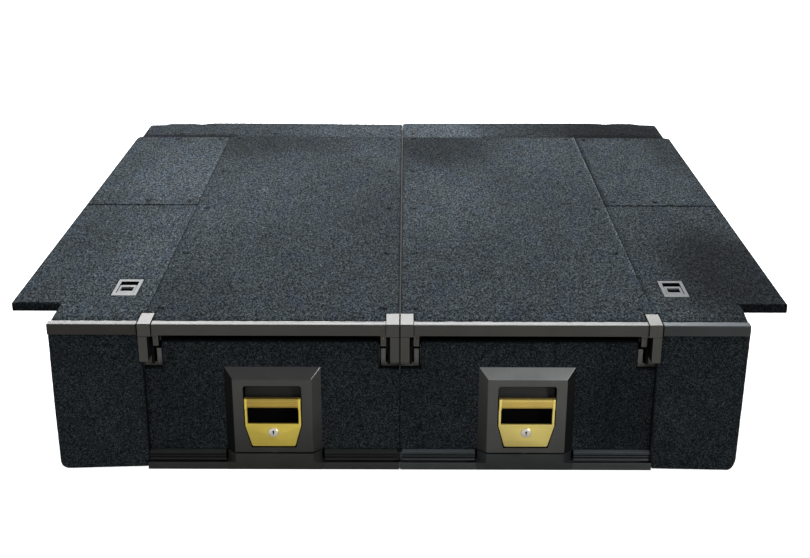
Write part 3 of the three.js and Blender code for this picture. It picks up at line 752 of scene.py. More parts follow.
    # the per-point tone, painted light and shade included, goes to the material as its pile attribute
    o.data.attributes.new("pile", "FLOAT", "POINT").data.foreach_set("value", np.concatenate(tone_and_shade).astype(np.float32))
    return o


def loop(s, pts):
    """A u outline put on its side of the centre line."""
    return [(s * u, v) for u, v in pts]


def rounded_corner(s, u, v, ru, rv, kind):
    """Draws the square corner at (u, v) in to an arc or a chamfer; ru and rv reach inwards with their signs."""
    def warp(x, y):
        cu, cv = s * (u + ru), v + rv
        dx, dy = (x - cu) / (-s * ru), (y - cv) / (-rv)
        m = (dx > 1e-9) & (dy > 1e-9)
        big = np.maximum(np.abs(dx), np.abs(dy))
        size = np.hypot(dx, dy) if kind == "arc" else np.abs(dx) + np.abs(dy)
        k = np.where(m, big / np.maximum(size, 1e-9), 1.0)
        return cu + dx * k * (-s * ru), cv + dy * k * (-rv)
    return warp


FILLER_REAR = {
    "left": [(0, 1510), (100, 1513), (300, 1518), (500, 1521), (548, 1521), (572, 1518), (588, 1510), (600, 1508), (611, 1512), (622, 1514.5),
             (688, 1514), (697, 1508), (705, 1499), (741, 1496), (750, 1486)],
    "right": [(0, 1517), (14, 1523), (200, 1526), (490, 1530), (560, 1530), (580, 1526), (597, 1520), (611, 1522), (650, 1528), (686, 1526),
              (698, 1519), (706, 1513), (742, 1510), (750, 1497)],
}
LID_SCREWS = [74, 387, 699, 1010, 1334]
REAR_SCREWS = [(518, 755), (618, 755), (518, 1325), (640, 1325)]
FILL_SCREWS = [(30, 1402), (372, 1402), (640, 1402)]


def screws(name, places, top, body, r=3.6):
    """Countersunk wood screws, their heads sunk in the pile, each with a cross recess."""
    bm = bmesh.new()
    for k, (x, y) in enumerate(places):
        turn = 0.4 + 1.7 * k
        rings = [(0.0, -0.9), (0.45 * r, -0.7), (0.5 * r, 0.05), (0.86 * r, 0.0), (r, -0.35), (0.92 * r, -0.9), (0.45 * r, -2.6), (0.0, -3.0)]
        n = 20
        prev = None
        for rr, dz in rings:
            if rr == 0.0:
                cur = [bm.verts.new(mm(x, y, top + dz))]
            else:
                cur = []
                for i in range(n):
                    t = 2 * math.pi * i / n
                    q = rr
                    if rr <= 0.5 * r + 1e-6:   # cross-shaped recess
                        q = rr * (0.45 + 0.62 * abs(math.cos(2 * t)) ** 1.5)
                    cur.append(bm.verts.new(mm(x + q * math.cos(t + turn), y + q * math.sin(t + turn), top + dz)))
            if prev is not None:
                if len(prev) == 1:
                    for i in range(n):
                        bm.faces.new((prev[0], cur[i], cur[(i + 1) % n]))
                elif len(cur) == 1:
                    for i in range(n):
                        bm.faces.new((cur[0], prev[(i + 1) % n], prev[i]))
                else:
                    for i in range(n):
                        j = (i + 1) % n
                        bm.faces.new((prev[i], cur[i], cur[j], prev[j]))
            prev = cur
    bmesh.ops.recalc_face_normals(bm, faces=bm.faces)
    for f in bm.faces:
        f.smooth = True
    o = from_bmesh(name, bm, [M["black"]])
    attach(o, body)
    return o


DECK = dict(r=2.6, nap=0.8, wave=0.6)


def thick_edge(o):
    """Where a wing board stands clear of its frame its carpet is wrapped round under the edge."""
    co = np.empty(len(o.data.vertices) * 3, np.float32)
    o.data.vertices.foreach_get("co", co)
    co = co.reshape(-1, 3)
    out = np.clip((np.abs(co[:, 0]) - 0.6755) / 0.004, 0, 1)
    low = np.clip((0.3135 - co[:, 2]) / 0.0115, 0, 1)
    co[:, 2] -= 0.0034 * out * low
    o.data.vertices.foreach_set("co", co.ravel())
    o.data.update()


def hinge_clear(o):
    """Beside the hinge line the pile is shorn, so that the two boards never meet as the hatch opens."""
    co = np.empty(len(o.data.vertices) * 3, np.float32)
    o.data.vertices.foreach_get("co", co)
    co = co.reshape(-1, 3)
    dy = np.abs(co[:, 1] * 1000 + YC - 724.0)
    co[:, 2] = np.where(dy < 9.0, np.minimum(co[:, 2], 0.314 + 0.00070 * dy), co[:, 2])
    o.data.vertices.foreach_set("co", co.ravel())
    o.data.update()


TAPER = {"left": (3.6, -6.2), "right": (1.2, 0.2)}     # how far the outer edge stands off 765, in front and behind
NOSE = {"left": 669.6, "right": 667.6}                 # outer edge of the hatch beside its trim
for side, s in SIDES:
    k = 0 if s < 0 else 100
    top_mats, front_mats = [M["top"], M["ply"]], [M["front"], M["ply"]]

    def outer_edge(x, y, side=side, s=s):
        t0, t1 = TAPER[side]
        w = np.clip((np.abs(x) - 600.0) / 165.0, 0, 1) * (y > 98.0)
        nose_w = np.clip((np.abs(x) - 640.0) / 25.0, 0, 1) * (y <= 98.0) * np.clip((y - 19.3) / 45.0, 0, 1)
        return x + s * w * (t0 + (t1 - t0) * (y - 101.0) / 1241.0) + s * nose_w * (3.5 if s > 0 else 0.0), y
    # lid
    spots = [(s * u, yy) for yy in LID_SCREWS for u in (31, 468)]
    dim = [(x, yy, 6.5, 3.2) for x, yy in spots]
    # lid strips: painted shade beside the seam on the left, a painted highlight along the outer edge on the right,
    # painted shade along the rear edge
    lid_light_and_shade_strips = [("x", s * 493.3, 14.0, 0.84, 20, 1354)] if s < 0 else [("x", s * 493.3, 7.5, 2.3, 230, 1400)]
    lid_light_and_shade_strips.append(("y", 1354, 22.0, 0.80, s * 2, s * 493))
    o = slab(side + "_lid_carpet", [loop(s, [(27, 19.3), (475, 19.3), (475, 51.5), (493.3, 51.5), (493.3, 1354), (1.9, 1354), (1.9, 51.5), (27, 51.5)])],
             302, 316.2, "top", 11 + k, top_mats, dimples=dim, light_and_shade_spots=PAINTED_LIGHT_PATCHES[side + "_lid"], tight=[s * 493.3], light_and_shade_strips=lid_light_and_shade_strips, tone=0.965,
             lips=[(s * 27, s * 475, 19.3, 313.75, 2.4), (s * 1.9, s * 27, 51.5, 316.2, 4.0), (s * 475, s * 493.3, 51.5, 316.2, 4.0)], **DECK)
    place(o, "carpet_board", side + "_lid_board")
    screws(side + "_lid_screws", spots, 313.6, "root")
    # hatch
    # hatch: its strips paint light or shade beside the seam and shade along the hinge line
    nose = NOSE[side]
    o = slab(side + "_hatch_carpet", [loop(s, [(502.6, 19.3), (nose, 19.3), (nose, 101), (765, 101), (765, 723), (493.8, 723), (493.8, 52.5), (502.6, 52.5)]),
                                      loop(s, [(530.2, 140.7), (580.8, 140.7), (580.8, 229.3), (530.2, 229.3)])],
             301.2, 316.2, "top", 12 + k, top_mats, lips=[(s * 502.6, s * nose, 19.3, 313.75, 2.2)], warp=outer_edge,
             light_and_shade_spots=PAINTED_LIGHT_PATCHES[side + "_hatch"], tight=[s * 493.8], light_and_shade_strips=[("x", s * 493.8, 12.0, 1.10 if s < 0 else 0.60, 60, 790), ("y", 723, 8.0, 0.30, s * 450, s * 830)], tone=1.10 if s < 0 else 1.0, **DECK)
    thick_edge(o)
    hinge_clear(o)
    place(o, "carpet_board", side + "_hatch_board")
    # rear wing board: its strips paint light or shade beside the seam and shade along the hinge line and the rear edge
    spots = [(s * u, yy) for u, yy in REAR_SCREWS]
    cut = rounded_corner(s, 765, 1354, -14, -12, "cut")

    def wing_warp(x, y, cut=cut, outer_edge=outer_edge):
        return outer_edge(*cut(x, y))
    o = slab(side + "_rear_wing_carpet", [loop(s, [(493.8, 725), (765, 725), (765, 1354), (493.8, 1354)])], 302, 316.2, "top", 13 + k, top_mats,
             warp=wing_warp, dimples=[(x, yy, 6.5, 3.2) for x, yy in spots], light_and_shade_spots=PAINTED_LIGHT_PATCHES[side + "_wing"], tight=[s * 493.8],
             light_and_shade_strips=[("x", s * 493.8, 14.0, 1.08 if s < 0 else 0.25, 660, 1420), ("y", 725, 7.0, 0.30, s * 450, s * 830), ("y", 1354, 20.0, 0.35 if s > 0 else 0.45, s * 440, s * 820)], tone=1.12 if s < 0 else 1.0, **DECK)
    thick_edge(o)
    hinge_clear(o)
    place(o, "carpet_board", side + "_rear_wing_board")
    screws(side + "_rear_wing_screws", spots, 313.6, "root")
    # filler board, its rear edge along the ribs of the tub's front wall; its strips paint a dark line of shade along
    # its front edge
    prof = FILLER_REAR[side]

    def filler_warp(x, y, prof=prof, s=s):
        far = np.interp(np.abs(x), [p[0] for p in prof], [p[1] for p in prof])
        return x * (1.0 + (0.006 if s > 0 else 0.0) * np.clip((np.abs(x) - 690.0) / 60.0, 0, 1)), 1356 + (y - 1356) * (far - 1356) / (1525 - 1356)
    spots = [(s * u, yy) for u, yy in FILL_SCREWS]
    o = slab(side + "_filler_carpet", [loop(s, [(1.4, 1356), (749, 1356), (749, 1525), (1.4, 1525)])], 300, 312.8, "top", 14 + k, top_mats,
             warp=filler_warp, dimples=[(x, yy, 6.5, 2.8) for x, yy in spots], r=2.2, nap=0.8, wave=0.6, light_and_shade_spots=PAINTED_LIGHT_PATCHES[side + "_filler"],
             light_and_shade_strips=[("y", 1366, 26.0, 0.70 if s < 0 else 0.62, s * 200, s * 470), ("y", 1366, 40.0, 0.02, s * 440, s * 860)],
             tone=1.0 if s > 0 else 0.92)
    place(o, "carpet_board", side + "_filler_board")
    screws(side + "_filler_screws", spots, 310.4, "root")
    # wing fascia: upright board, its outer lower corner rounded, lower edge rising a little inwards
    corner = rounded_corner(s, 673, 0, -15, 18, "arc") if s < 0 else rounded_corner(s, 673, 0, -17, 27, "arc")

    def fascia_warp(x, y, corner=corner, s=s):
        x, y = corner(x, y)
        out = np.clip((np.abs(x) - 501.4) / 171.6, 0, 1)
        rise = 2.0 * np.clip(1 - out, 0, 1) * np.clip(1 - y / 15.0, 0, 1)
        wide = 3.0 - 2.0 * np.clip(1 - y / 150.0, 0, 1) if s < 0 else -6.2 * np.clip(1 - y / 301.5, 0, 1)
        return x + s * out * wide, y + rise
    o = slab(side + "_fascia_carpet", [loop(s, [(501.4, 0.4), (673, 0.4), (673, 301.5), (501.4, 301.5), (501.4, 236), (497.7, 236), (497.7, 16.5), (501.4, 16.5)])],
             -20, -8, "front", 15 + k, front_mats, pitch=3.0, r=2.2, nap=0.6, warp=fascia_warp, tight=[s * 497.7])
    # the panel leans out a little towards its foot
    co = np.empty(len(o.data.vertices) * 3, np.float32)
    o.data.vertices.foreach_get("co", co)
    co = co.reshape(-1, 3)
    foot = np.clip(1 - co[:, 2] / 0.290, 0, 1)
    far_out = np.clip((np.abs(co[:, 0]) - 0.5014) / 0.1716, 0, 1)
    co[:, 1] -= 0.009 * foot * ((0.25 + 0.75 * far_out) if s < 0 else (0.75 + 0.25 * far_out))
    o.data.vertices.foreach_set("co", co.ravel())
    o.data.update()
    place(o, "carpet_board", side + "_wing_fascia")
    # drawer front board, with soft spots of painted light and shade
    o = slab(side + "_drawer_face_carpet", [loop(s, [(0.3, 36), (497.2, 36), (497.2, 213), (461.3, 213), (461.3, 270), (40.7, 270), (40.7, 213), (0.3, 213)]),
                                            loop(s, [(C - 62, 46), (C + 62, 46), (C + 62, 190), (C - 62, 190)])],
             -33, -18, "front", 16 + k, front_mats, pitch=3.0, r=1.8, nap=0.6, tight=[s * 0.3, s * 497.2], light_and_shade_spots=PAINTED_LIGHT_PATCHES[side + "_front"])
    place(o, "carpet_board", side + "_drawer_front")

# ---------------------------------------------------------------- extrusions and mouldings
for side, s in SIDES:
    n = side + "_"
    g = 0.4
    # lid trim: rolled front edge, two fine lines along its top
    sec = fillet([(0, 290.3, 0.5), (0, 313.3, 2.8), (3.1, 313.3, 0), (3.5, 313.3 - g, 0), (3.9, 313.3, 0), (10.6, 313.3, 0), (11.0, 313.3 - g, 0), (11.4, 313.3, 0),
                  (19, 313.3, 0.5), (19, 310.5, 0.5), (3, 310.5, 0.6), (3, 293.0, 0.6), (8, 293.0, 0.5), (8, 290.3, 0.5)])
    o = prism_x(n + "lid_trim_bar", sec, s * 27.0, s * 475.0, M["anod"])
    # the top faces take a lighter copy of the gunmetal: painted light
    refinish(o, M["anod_lit_top"], lambda c, v: v.z > 0.6)
    place(o, "black_anodised", n + "lid_trim")
    # hatch trim: three fine lines along its top
    sec = fillet([(0, 291.5, 0.5), (0, 313.3, 2.8)] + [q for c in (4.2, 8.2, 12.2) for q in ((c - 0.45, 313.3, 0), (c, 313.3 - g, 0), (c + 0.45, 313.3, 0))]
                 + [(19, 313.3, 0.5), (19, 310.5, 0.5), (3, 310.5, 0.6), (3, 291.5, 0.5)])
    # the hatch trims take darker copies of the gunmetal, the right one bluer, and lighter copies on their tops: painted
    # light and shade
    o = prism_x(n + "hatch_trim_bar", sec, s * 504.2, -674.5 if s < 0 else 669.6, M["anod_shaded_l"] if s < 0 else M["anod_shaded_r"])
    refinish(o, M["anod_lit_top_l" if s < 0 else "anod_lit_top_r"], lambda c, v: v.z > 0.6)
    place(o, "black_anodised", n + "hatch_trim")
    for w in ("outer", "inner"):
        o = stand_in(n + w + "_rail_cap", M["anod_z"], "black_anodised", 0.5, 3, split_z=290.0,
                     rounds=[(lambda p, q: max(p[1], q[1]) < -4.5 and min(p[2], q[2]) > 315.5, 2.4, 4)])
        # the flanks of the post inside the slot are near black: painted shade
        refinish(o, M["slot_shade"], lambda c, v: abs(v.x) > 0.8 and c[2] < 289 and c[1] > -4 and 10 < abs(abs(c[0]) - (500.8 if w == "outer" else 1.2)) < 20)
        o = stand_in(n + w + "_runner_rail", M["rail"], "black_anodised", 0.4, 2)
        # the end faces of the rail take a lighter, less metallic copy: painted light in the recess
        refinish(o, M["rail_end_lit"], lambda c, v: c[1] < 36.35 and v.y < -0.3)
        stand_in(n + w + "_roller", M["nylon"], "roller_nylon", 0.5, 2)
    # the right sill takes a lighter copy of the finish than the left: painted light and shade
    stand_in(n + "sill", M["sill_" + side], "black_anodised", 0.4, 2)
    # the right foot takes a lighter, bluer copy of the moulding: painted light
    stand_in(n + "striker_foot", M["moulding" if s < 0 else "moulding_lit_foot"], "moulding", 0.7, 3)
    # the right kick rail takes a lighter, bluer copy than the left, its top ledge a lighter, less metallic copy, its
    # grooves a darker one: painted light and shade
    o = stand_in(n + "kick_rail", M["kick_" + side], "black_anodised", 0.3, 2)
    refinish(o, M["ledge_" + side], lambda c, v: v.z > 0.75 and c[2] > 34.5)
    refinish(o, M["groove_shade"], lambda c, v: 8.4 < c[1] < 9.9 and c[2] < 31)

    def outer_frame(p, q, c=s * C):
        ring = [abs(abs(v[0] - c) - 76.5) < 0.6 or abs(v[2] - 198) < 0.6 or abs(abs(v[0] - c) - 94.25) < 0.6 or abs(v[2] - 217) < 0.6 for v in (p, q)]
        return all(ring) and min(p[1], q[1]) < 1.0 and max(p[2], q[2]) > 60
    # the right bezel takes a lighter copy of the moulding: painted light
    o = stand_in(n + "handle_bezel", M["moulding" if s < 0 else "moulding_lit_right"], "moulding", 0.5, 3, rounds=[(outer_frame, 2.2, 4)])
    # near black low inside the pan and on the back of the mouth: painted shade
    refinish(o, M["shade_black"], lambda c, v: (c[1] > 3.2 and 48 < c[2] < 150 and abs(abs(c[0]) - C) < 58) or (c[1] > 24 and v.y < -0.5))
    # the side chamfers take darker copies, the outer one darkest: painted shade
    refinish(o, M["moulding_shaded_flank"], lambda c, v: abs(v.x) > 0.35 and -1.8 < c[1] < 19 and abs(abs(c[0]) - C) > 77)
    refinish(o, M["moulding_dark"], lambda c, v: s * v.x > 0.35 and -1.8 < c[1] < 19 and s * c[0] > C + 77)
    if s > 0:
        # a painted highlight on the right bezel's top chamfer
        refinish(o, M["moulding_painted_highlight"], lambda c, v: v.z > 0.35 and v.y < -0.1 and -1.8 < c[1] < 19 and c[2] > 197)

    def plate_rim(p, q, c=s * C):
        return max(p[1], q[1]) < -0.5 and max(p[2], q[2]) < 104 and min(abs(p[0] - c), abs(q[0] - c)) > 12
    # the right handle takes lighter copies of the gold: painted light
    o = stand_in(n + "handle", M["gold" if s < 0 else "gold_lit_right"], "gold_handle", 0.4, 2, rounds=[(plate_rim, 0.9, 3)])
    refinish(o, M["gold_grip" if s < 0 else "grip_lit_right"], lambda c, v: c[2] > 135.5)
    # near black on the pivot bumps behind the plate's lower corners: painted shade
    refinish(o, M["shade_black"], lambda c, v: abs(abs(c[0]) - C) > 38.6 and c[2] < 68 and c[1] > 1.8)
    def disc_rim(p, q, c=s * C):
        return max(p[1], q[1]) < -2.5 and all(abs(math.hypot(v[0] - c, v[2] - 83.5) - 10) < 0.2 for v in (p, q))
    stand_in(n + "lock_cylinder", M["chrome"], "lock_chrome", 0.25, 2, rounds=[(disc_rim, 1.6, 4)])
    stand_in(n + "latch_bolt", M["zinc"], "bolt_steel", 0.5, 2)
    o = stand_in(n + "latch_plate", M["silver_" + side], "latch_silver", 0.35, 2)
    # near black below the top of the pile, round the plate: painted shade
    refinish(o, M["shade_black"], lambda c, v: c[2] < 314.6)
    stand_in(n + "latch_ring", M["silver_" + side], "latch_silver", 0.5, 3)
    stand_in(n + "latch_tongue", M["zinc"], "bolt_steel", 0.5, 2)
    stand_in(n + "drawer_tray", M["tray"], "tray_sheet", 0.4, 2, convex=True)
    stand_in(n + "wing_frame", M["mill"], "frame_mill", 0.6, 2)
    stand_in(n + "rear_panel", M["mill"], "frame_mill", 0.8, 3)
    for p in ("floor_board", "outer_side_panel", "inner_side_panel"):
        stand_in(n + p, M["ply"], "carpet_board", 0.6, 2)

# ---------------------------------------------------------------- seals, screws and other small parts
def block(name, x0, x1, y0, y1, z0, z1, mat, slot, body, width=0.4, segments=2):
    """A small moulded strip with rounded edges."""
    bm = bmesh.new()
    vs = [bm.verts.new(mm(x, y, z)) for x in (x0, x1) for y in (y0, y1) for z in (z0, z1)]
    for f in ((0, 1, 3, 2), (4, 6, 7, 5), (0, 4, 5, 1), (2, 3, 7, 6), (0, 2, 6, 4), (1, 5, 7, 3)):
        bm.faces.new([vs[i] for i in f])
    bmesh.ops.recalc_face_normals(bm, faces=bm.faces)
    o = from_bmesh(name, bm, [mat])
    soften(o, width, segments)
    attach(o, body)
    return o


def front_screw(name, x, y, z, r, mat, body):
    """A pan-head screw facing forwards with a socket in its head."""
    bm = bmesh.new()
    n = 24
    prev = None
    for rr, dy in ((0.0, -0.25), (0.42 * r, -0.25), (0.46 * r, -0.62), (0.80 * r, -0.60), (0.97 * r, -0.30), (r, 0.0), (0.55 * r, 0.1), (0.5 * r, 1.2), (0.0, 1.4)):
        if rr == 0.0:
            cur = [bm.verts.new(mm(x, y + dy, z))]
        else:
            cur = []
            for i in range(n):
                t = 2 * math.pi * i / n
                q = rr * (1 - 0.13 * (math.cos(6 * t) > 0)) if rr < 0.45 * r else rr
                cur.append(bm.verts.new(mm(x + q * math.cos(t), y + dy, z + q * math.sin(t))))
        if prev is not None:
            for i in range(n):
                j = (i + 1) % n
                if len(prev) == 1:
                    bm.faces.new((prev[0], cur[i], cur[j]))
                elif len(cur) == 1:
                    bm.faces.new((cur[0], prev[j], prev[i]))
                else:
                    bm.faces.new((prev[i], cur[i], cur[j], prev[j]))
        prev = cur
    bmesh.ops.recalc_face_normals(bm, faces=bm.faces)
    for f in bm.faces:
        f.smooth = True
    o = from_bmesh(name, bm, [mat])
    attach(o, body)
    return o


def key_slot(name, x, z, body):
    """A near-black keyway plug, painted shade for the hole: a round top and a narrow slot below it, let into the face
    of the lock.
    """
    bm = bmesh.new()
    outline = []
    for i in range(15):
        t = math.radians(-55 + 290 * i / 14)
        outline.append((1.95 * math.cos(t), 1.9 + 1.95 * math.sin(t)))
    outline += [(-1.05, -3.7), (-0.7, -4.1), (0.7, -4.1), (1.05, -3.7)]
    rows = []
    for y_, k in ((-3.12, 0.88), (-3.18, 1.0), (-2.6, 1.0)):
        rows.append([bm.verts.new(mm(x + px * k, y_, z + pz * k)) for px, pz in outline])
    n = len(outline)
    for r0, r1 in zip(rows[:-1], rows[1:]):
        for i in range(n):
            bm.faces.new((r0[i], r0[(i + 1) % n], r1[(i + 1) % n], r1[i]))
    bm.faces.new(rows[0])
    bm.faces.new(list(reversed(rows[-1])))
    bmesh.ops.recalc_face_normals(bm, faces=bm.faces)
    o = from_bmesh(name, bm, [M["shade_black"]])
    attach(o, body)
    return o


block("centre_gasket", -1.80, 1.80, 56, 1352, 303.5, 311.0, M["rubber"], "roller_nylon", "root")
block("rail_gap_seal", -2.12, 2.12, 37.8, 1340, 212.4, 300.4, M["rubber"], "roller_nylon", "root")
block("cap_gap_seal", -1.12, 1.12, -2.5, 37.2, 212.6, 313.0, M["rubber"], "roller_nylon", "root")
block("filler_gasket", -1.32, 1.32, 1358, 1516, 301.5, 309.0, M["rubber"], "roller_nylon", "root")
block("filler_joint_strip", -16.0, 16.0, 1444, 1500, 296.4, 299.8, M["nylon"], "roller_nylon", "root", 0.8, 3)
block("panel_joint_seal", -1.44, 1.44, 1342.4, 1439, 240.0, 299.4, M["rubber"], "roller_nylon", "root")
block("sill_joint", -1.25, 1.25, 3.4, 30.6, 0.5, 11.2, M["rubber"], "roller_nylon", "root", 0.2, 2)
block("joint_bead", -0.62, 0.62, 0.5, 3.1, 0.6, 15.2, M["bead"], "roller_nylon", "root", 0.25, 2)
block("drawer_gap_seal", -1.47, 1.47, 33.6, 60.0, 12.6, 210.0, M["rubber"], "roller_nylon", "root", 0.3, 3)
block("floor_joint_strip", -1.40, 1.40, 31.8, 1341.0, 0.6, 11.4, M["rubber"], "roller_nylon", "root", 0.3, 2)
for side, s in SIDES:
    n = side + "_"
    block(n + "fascia_seal", *sorted((s * 498.1, s * 504.0)), 19.6, 33.7, 0.5, 236.0, M["rubber"], "roller_nylon", "root")
    block(n + "kick_end", *sorted((s * 0.45, s * 4.4)), 7.5, 30.5, 17.3, 35.4, M["kick_" + side], "black_anodised", n + "drawer", 0.5, 3)
    # sloping back of the recess above the grip, darker than the moulding: painted shade
    o = prism_x(n + "recess_back", fillet([(17.0, 148.5, 1.0), (26.6, 182.5, 1.0), (28.3, 182.5, 0), (28.3, 148.5, 0)]), s * C - 55.5, s * C + 55.5, M["recess"], 0.6)
    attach(o, n + "drawer")
    for w, e0, e1 in (("outer", 500.8 - 22.9, 500.8 - 17.8), ("inner", 1.2 + 17.8, 1.2 + 22.9)):
        # the buffers are near black where the channel mouth lies in shade: painted shade
        block(n + w + "_rail_buffer", *sorted((s * e0, s * e1)), 25.0, 35.5, 220.0, 286.0, M["slot_shade"], "roller_nylon", "root", 0.6, 3)
        # the web plugs take the lighter rail-end copy: painted light
        block(n + w + "_web_plug", *sorted((s * (500.8 - 14.3 if w == "outer" else 1.2 + 3.7), s * (500.8 - 3.7 if w == "outer" else 1.2 + 14.3))), 36.12, 39.0, 214.1, 298.3,
              M["rail_end_lit"], "black_anodised", "root", 0.2, 2)
        block(n + w + "_rail_plug", *sorted((s * (e0 - 12.6 if w == "outer" else e0 - 0.3), s * (e1 + 0.3 if w == "outer" else e1 + 12.6))), 1332.0, 1341.0, 219.4, 263.0, M["nylon"], "roller_nylon", "root", 0.6, 3)
    # keyway of the lock: a near-black plug, painted shade for the hole
    key_slot(n + "keyway", s * C, 83.5, n + "lock")
    for q, w in ((-1, "left"), (1, "right")):
        o = block(n + "grip_end_" + w, *sorted((s * C + q * 49.6, s * C + q * 55.0)), -5.7, 4.0, 134.5, 158.2, M["gold" if s < 0 else "gold_lit_right"], "gold_handle", n + "handle_set", 1.6, 4)
    for w, e, mat in (("outer", 500.8 - 30.5, "black"), ("inner", 1.2 + 30.5, "brass" if s < 0 else "black")):
        front_screw(n + w + "_tab_screw", s * e, 11.95, 280.9, 1.5, M[mat], "root")


def hinge_strip(side, s):
    """A flexible moulded strip let into both boards across the seam."""
    xs = np.linspace(s * 500.0, s * 758.0, 65)
    ys = [721.4, 722.2, 723.0, 723.4, 723.7, 724.0, 724.3, 724.6, 725.0, 725.8, 726.6]
    bm = bmesh.new()
    grid = []
    for zz in (312.5, 313.3):
        grid.append([[bm.verts.new(mm(x, y, zz + 0.12 * math.sin(i * 2.1 + j))) for j, y in enumerate(ys)] for i, x in enumerate(xs)])
    nx, ny = len(xs), len(ys)
    for i in range(nx - 1):
        for j in range(ny - 1):
            for g in grid:
                bm.faces.new((g[i][j], g[i + 1][j], g[i + 1][j + 1], g[i][j + 1]))
    for i in range(nx - 1):
        for j in (0, ny - 1):
            bm.faces.new((grid[0][i][j], grid[0][i + 1][j], grid[1][i + 1][j], grid[1][i][j]))
    for j in range(ny - 1):
        for i in (0, nx - 1):
            bm.faces.new((grid[0][i][j], grid[0][i][j + 1], grid[1][i][j + 1], grid[1][i][j]))
    bmesh.ops.recalc_face_normals(bm, faces=bm.faces)
    o = from_bmesh(side + "_hinge_strip", bm, [M["rubber"]])
    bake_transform(o)


def rear_rivets(side, s):
    """Domed rivets that hold the folded rear panel to the boards in front of it."""
    bm = bmesh.new()
    n = 18
    for x, z in [(u, 6.3) for u in (30, 140, 250, 360, 470)] + [(u, zz) for u in (7.5, 492.5) for zz in (60, 125, 190)]:
        prev = None
        for rr, dy in ((0.0, 1.9), (1.6, 1.75), (2.9, 1.2), (3.6, 0.35), (3.6, -0.4), (0.0, -0.6)):
            cur = [bm.verts.new(mm(s * x, 1345 + dy, z))] if rr == 0.0 else \
                [bm.verts.new(mm(s * x + rr * math.cos(2 * math.pi * i / n), 1345 + dy, z + rr * math.sin(2 * math.pi * i / n))) for i in range(n)]
            if prev is not None:
                for i in range(n):
                    j = (i + 1) % n
                    if len(prev) == 1:
                        bm.faces.new((prev[0], cur[i], cur[j]))
                    elif len(cur) == 1:
                        bm.faces.new((cur[0], prev[j], prev[i]))
                    else:
                        bm.faces.new((prev[i], cur[i], cur[j], prev[j]))
            prev = cur
    bmesh.ops.recalc_face_normals(bm, faces=bm.faces)
    for f in bm.faces:
        f.smooth = True
    o = from_bmesh(side + "_rear_rivets", bm, [M["zinc"]])
    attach(o, "root")


for side, s in SIDES:
    hinge_strip(side, s)
    rear_rivets(side, s)
    o = slab(side + "_tray_liner", [loop(s, [(42.2, 39.5), (459.8, 39.5), (459.8, 1297), (42.2, 1297)])], 42.1, 45.2, "top", 31 + (0 if s < 0 else 100),
             [M["liner"], M["rubber"]], pitch=7.0, r=1.6, nap=0.5, wave=0.4)
    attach(o, side + "_drawer")

# ---------------------------------------------------------------- floor, light
def plane(name, z, size, mat):
    o = new_object(name, [(-size, -size, z), (size, -size, z), (size, size, z), (-size, size, z)], [(0, 1, 2, 3)], [mat], smooth=False)
    return o


def floor_material(name, colour, glow=0.0):
    m, nt, b = material(name, Roughness=0.9, Specular_IOR_Level=0.1)
    n = noise(nt, coords(nt), 1.3, 3.0)
    link(nt, ramp(nt, n, [(0.3, tuple(c * 0.985 for c in colour)), (0.7, colour)]), b.inputs["Base Color"])
    if glow:
        b.inputs["Emission Color"].default_value = (1, 1, 1, 1)
        b.inputs["Emission Strength"].default_value = glow
    return m


pale = plane("pale_floor", -0.0004, 30.0, floor_material("pale_floor", (0.90, 0.90, 0.90), 0.9))
pale.visible_diffuse = pale.visible_glossy = pale.visible_transmission = pale.visible_shadow = False
bounce = plane("floor_bounce", -0.0016, 30.0, floor_material("floor_bounce", (0.10, 0.10, 0.10)))
bounce.visible_camera = bounce.visible_glossy = False
sheen_mat = floor_material("floor_sheen", (0.78, 0.775, 0.755))
st = sheen_mat.node_tree
# painted shadow: the reflected floor darkens towards the object, seen only in reflections
shadow_fade = rng_map(st, add(st, "ShaderNodeSeparateXYZ", {"Vector": coords(st)}).outputs["Y"], -0.78, -1.10, 0.56, 1.0, True)
link(st, ramp(st, shadow_fade, [(0.0, (0.0, 0.0, 0.0)), (1.0, (0.98, 0.965, 0.925))]), st.nodes["Principled BSDF"].inputs["Base Color"])
sheen = plane("floor_sheen", -0.0010, 30.0, sheen_mat)
sheen.visible_camera = sheen.visible_diffuse = sheen.visible_shadow = False
bounce.visible_shadow = False

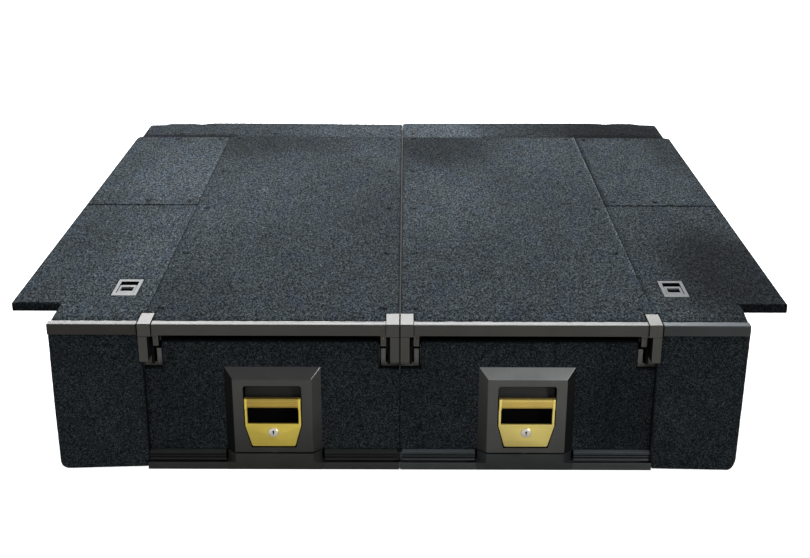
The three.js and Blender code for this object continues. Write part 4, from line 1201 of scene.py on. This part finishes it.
world = bpy.data.worlds.new("studio")
bpy.context.scene.world = world
world.use_nodes = True
wt = world.node_tree
wt.nodes.clear()
tc = add(wt, "ShaderNodeTexCoord")
sep = add(wt, "ShaderNodeSeparateXYZ", {"Vector": tc.outputs["Generated"]})
height = rng_map(wt, sep.outputs["Z"], -1.0, 1.0, 0.0, 1.0)
sky = ramp(wt, height, [(0.0, (0.20, 0.20, 0.20)), (0.49, (0.30, 0.30, 0.30)), (0.60, (0.40, 0.40, 0.40)), (1.0, (0.50, 0.505, 0.51))])
back = rng_map(wt, sep.outputs["Y"], -0.2, 0.9, 0.0, 0.5, True)
backc = add(wt, "ShaderNodeCombineColor", {0: back, 1: back, 2: back}).outputs["Color"]
upper = rng_map(wt, sep.outputs["Z"], 0.0, 0.3, 0.0, 1.0, True)
sky = mix(wt, 1.0, sky, mix(wt, upper, (0.0, 0.0, 0.0), backc), "ADD")
lp = add(wt, "ShaderNodeLightPath")
seen = mix(wt, lp.outputs["Is Camera Ray"], sky, (1.0, 1.0, 1.0))
bg = add(wt, "ShaderNodeBackground", {"Color": seen, "Strength": 1.0})
wo = add(wt, "ShaderNodeOutputWorld", {"Surface": bg.outputs["Background"]})


def softbox(name, loc, target, sx, sy, radiance, colour=(1, 1, 1)):
    d = bpy.data.lights.new(name, "AREA")
    d.shape = "RECTANGLE"
    d.size, d.size_y = sx, sy
    d.energy = radiance * math.pi * sx * sy
    d.color = colour
    o = bpy.data.objects.new(name, d)
    o.location = loc
    o.rotation_mode = "QUATERNION"
    o.rotation_quaternion = (Vector(target) - Vector(loc)).to_track_quat("-Z", "Y")
    o.visible_camera = False
    bpy.context.scene.collection.objects.link(o)
    return o


softbox("softbox_back", (-0.7, 4.2, 2.25), (0, 0, 0.3), 5.2, 2.2, 6.0)
softbox("softbox_top", (0.0, 0.55, 3.2), (0, 0.3, 0.3), 3.2, 2.6, 1.7)
spark = softbox("strip_right", (1.95, -2.75, 1.15), (0.0, -0.75, 0.25), 0.35, 0.8, 60.0)
spark.visible_diffuse = False

front = softbox("softbox_front", (0.2, -4.2, 1.1), (0.0, -0.76, 0.15), 2.6, 1.2, 0.50)
front.visible_glossy = False

view = bpy.context.scene.view_settings
view.view_transform = "Standard"
view.look = "None"
view.exposure = 0.0
view.gamma = 1.0
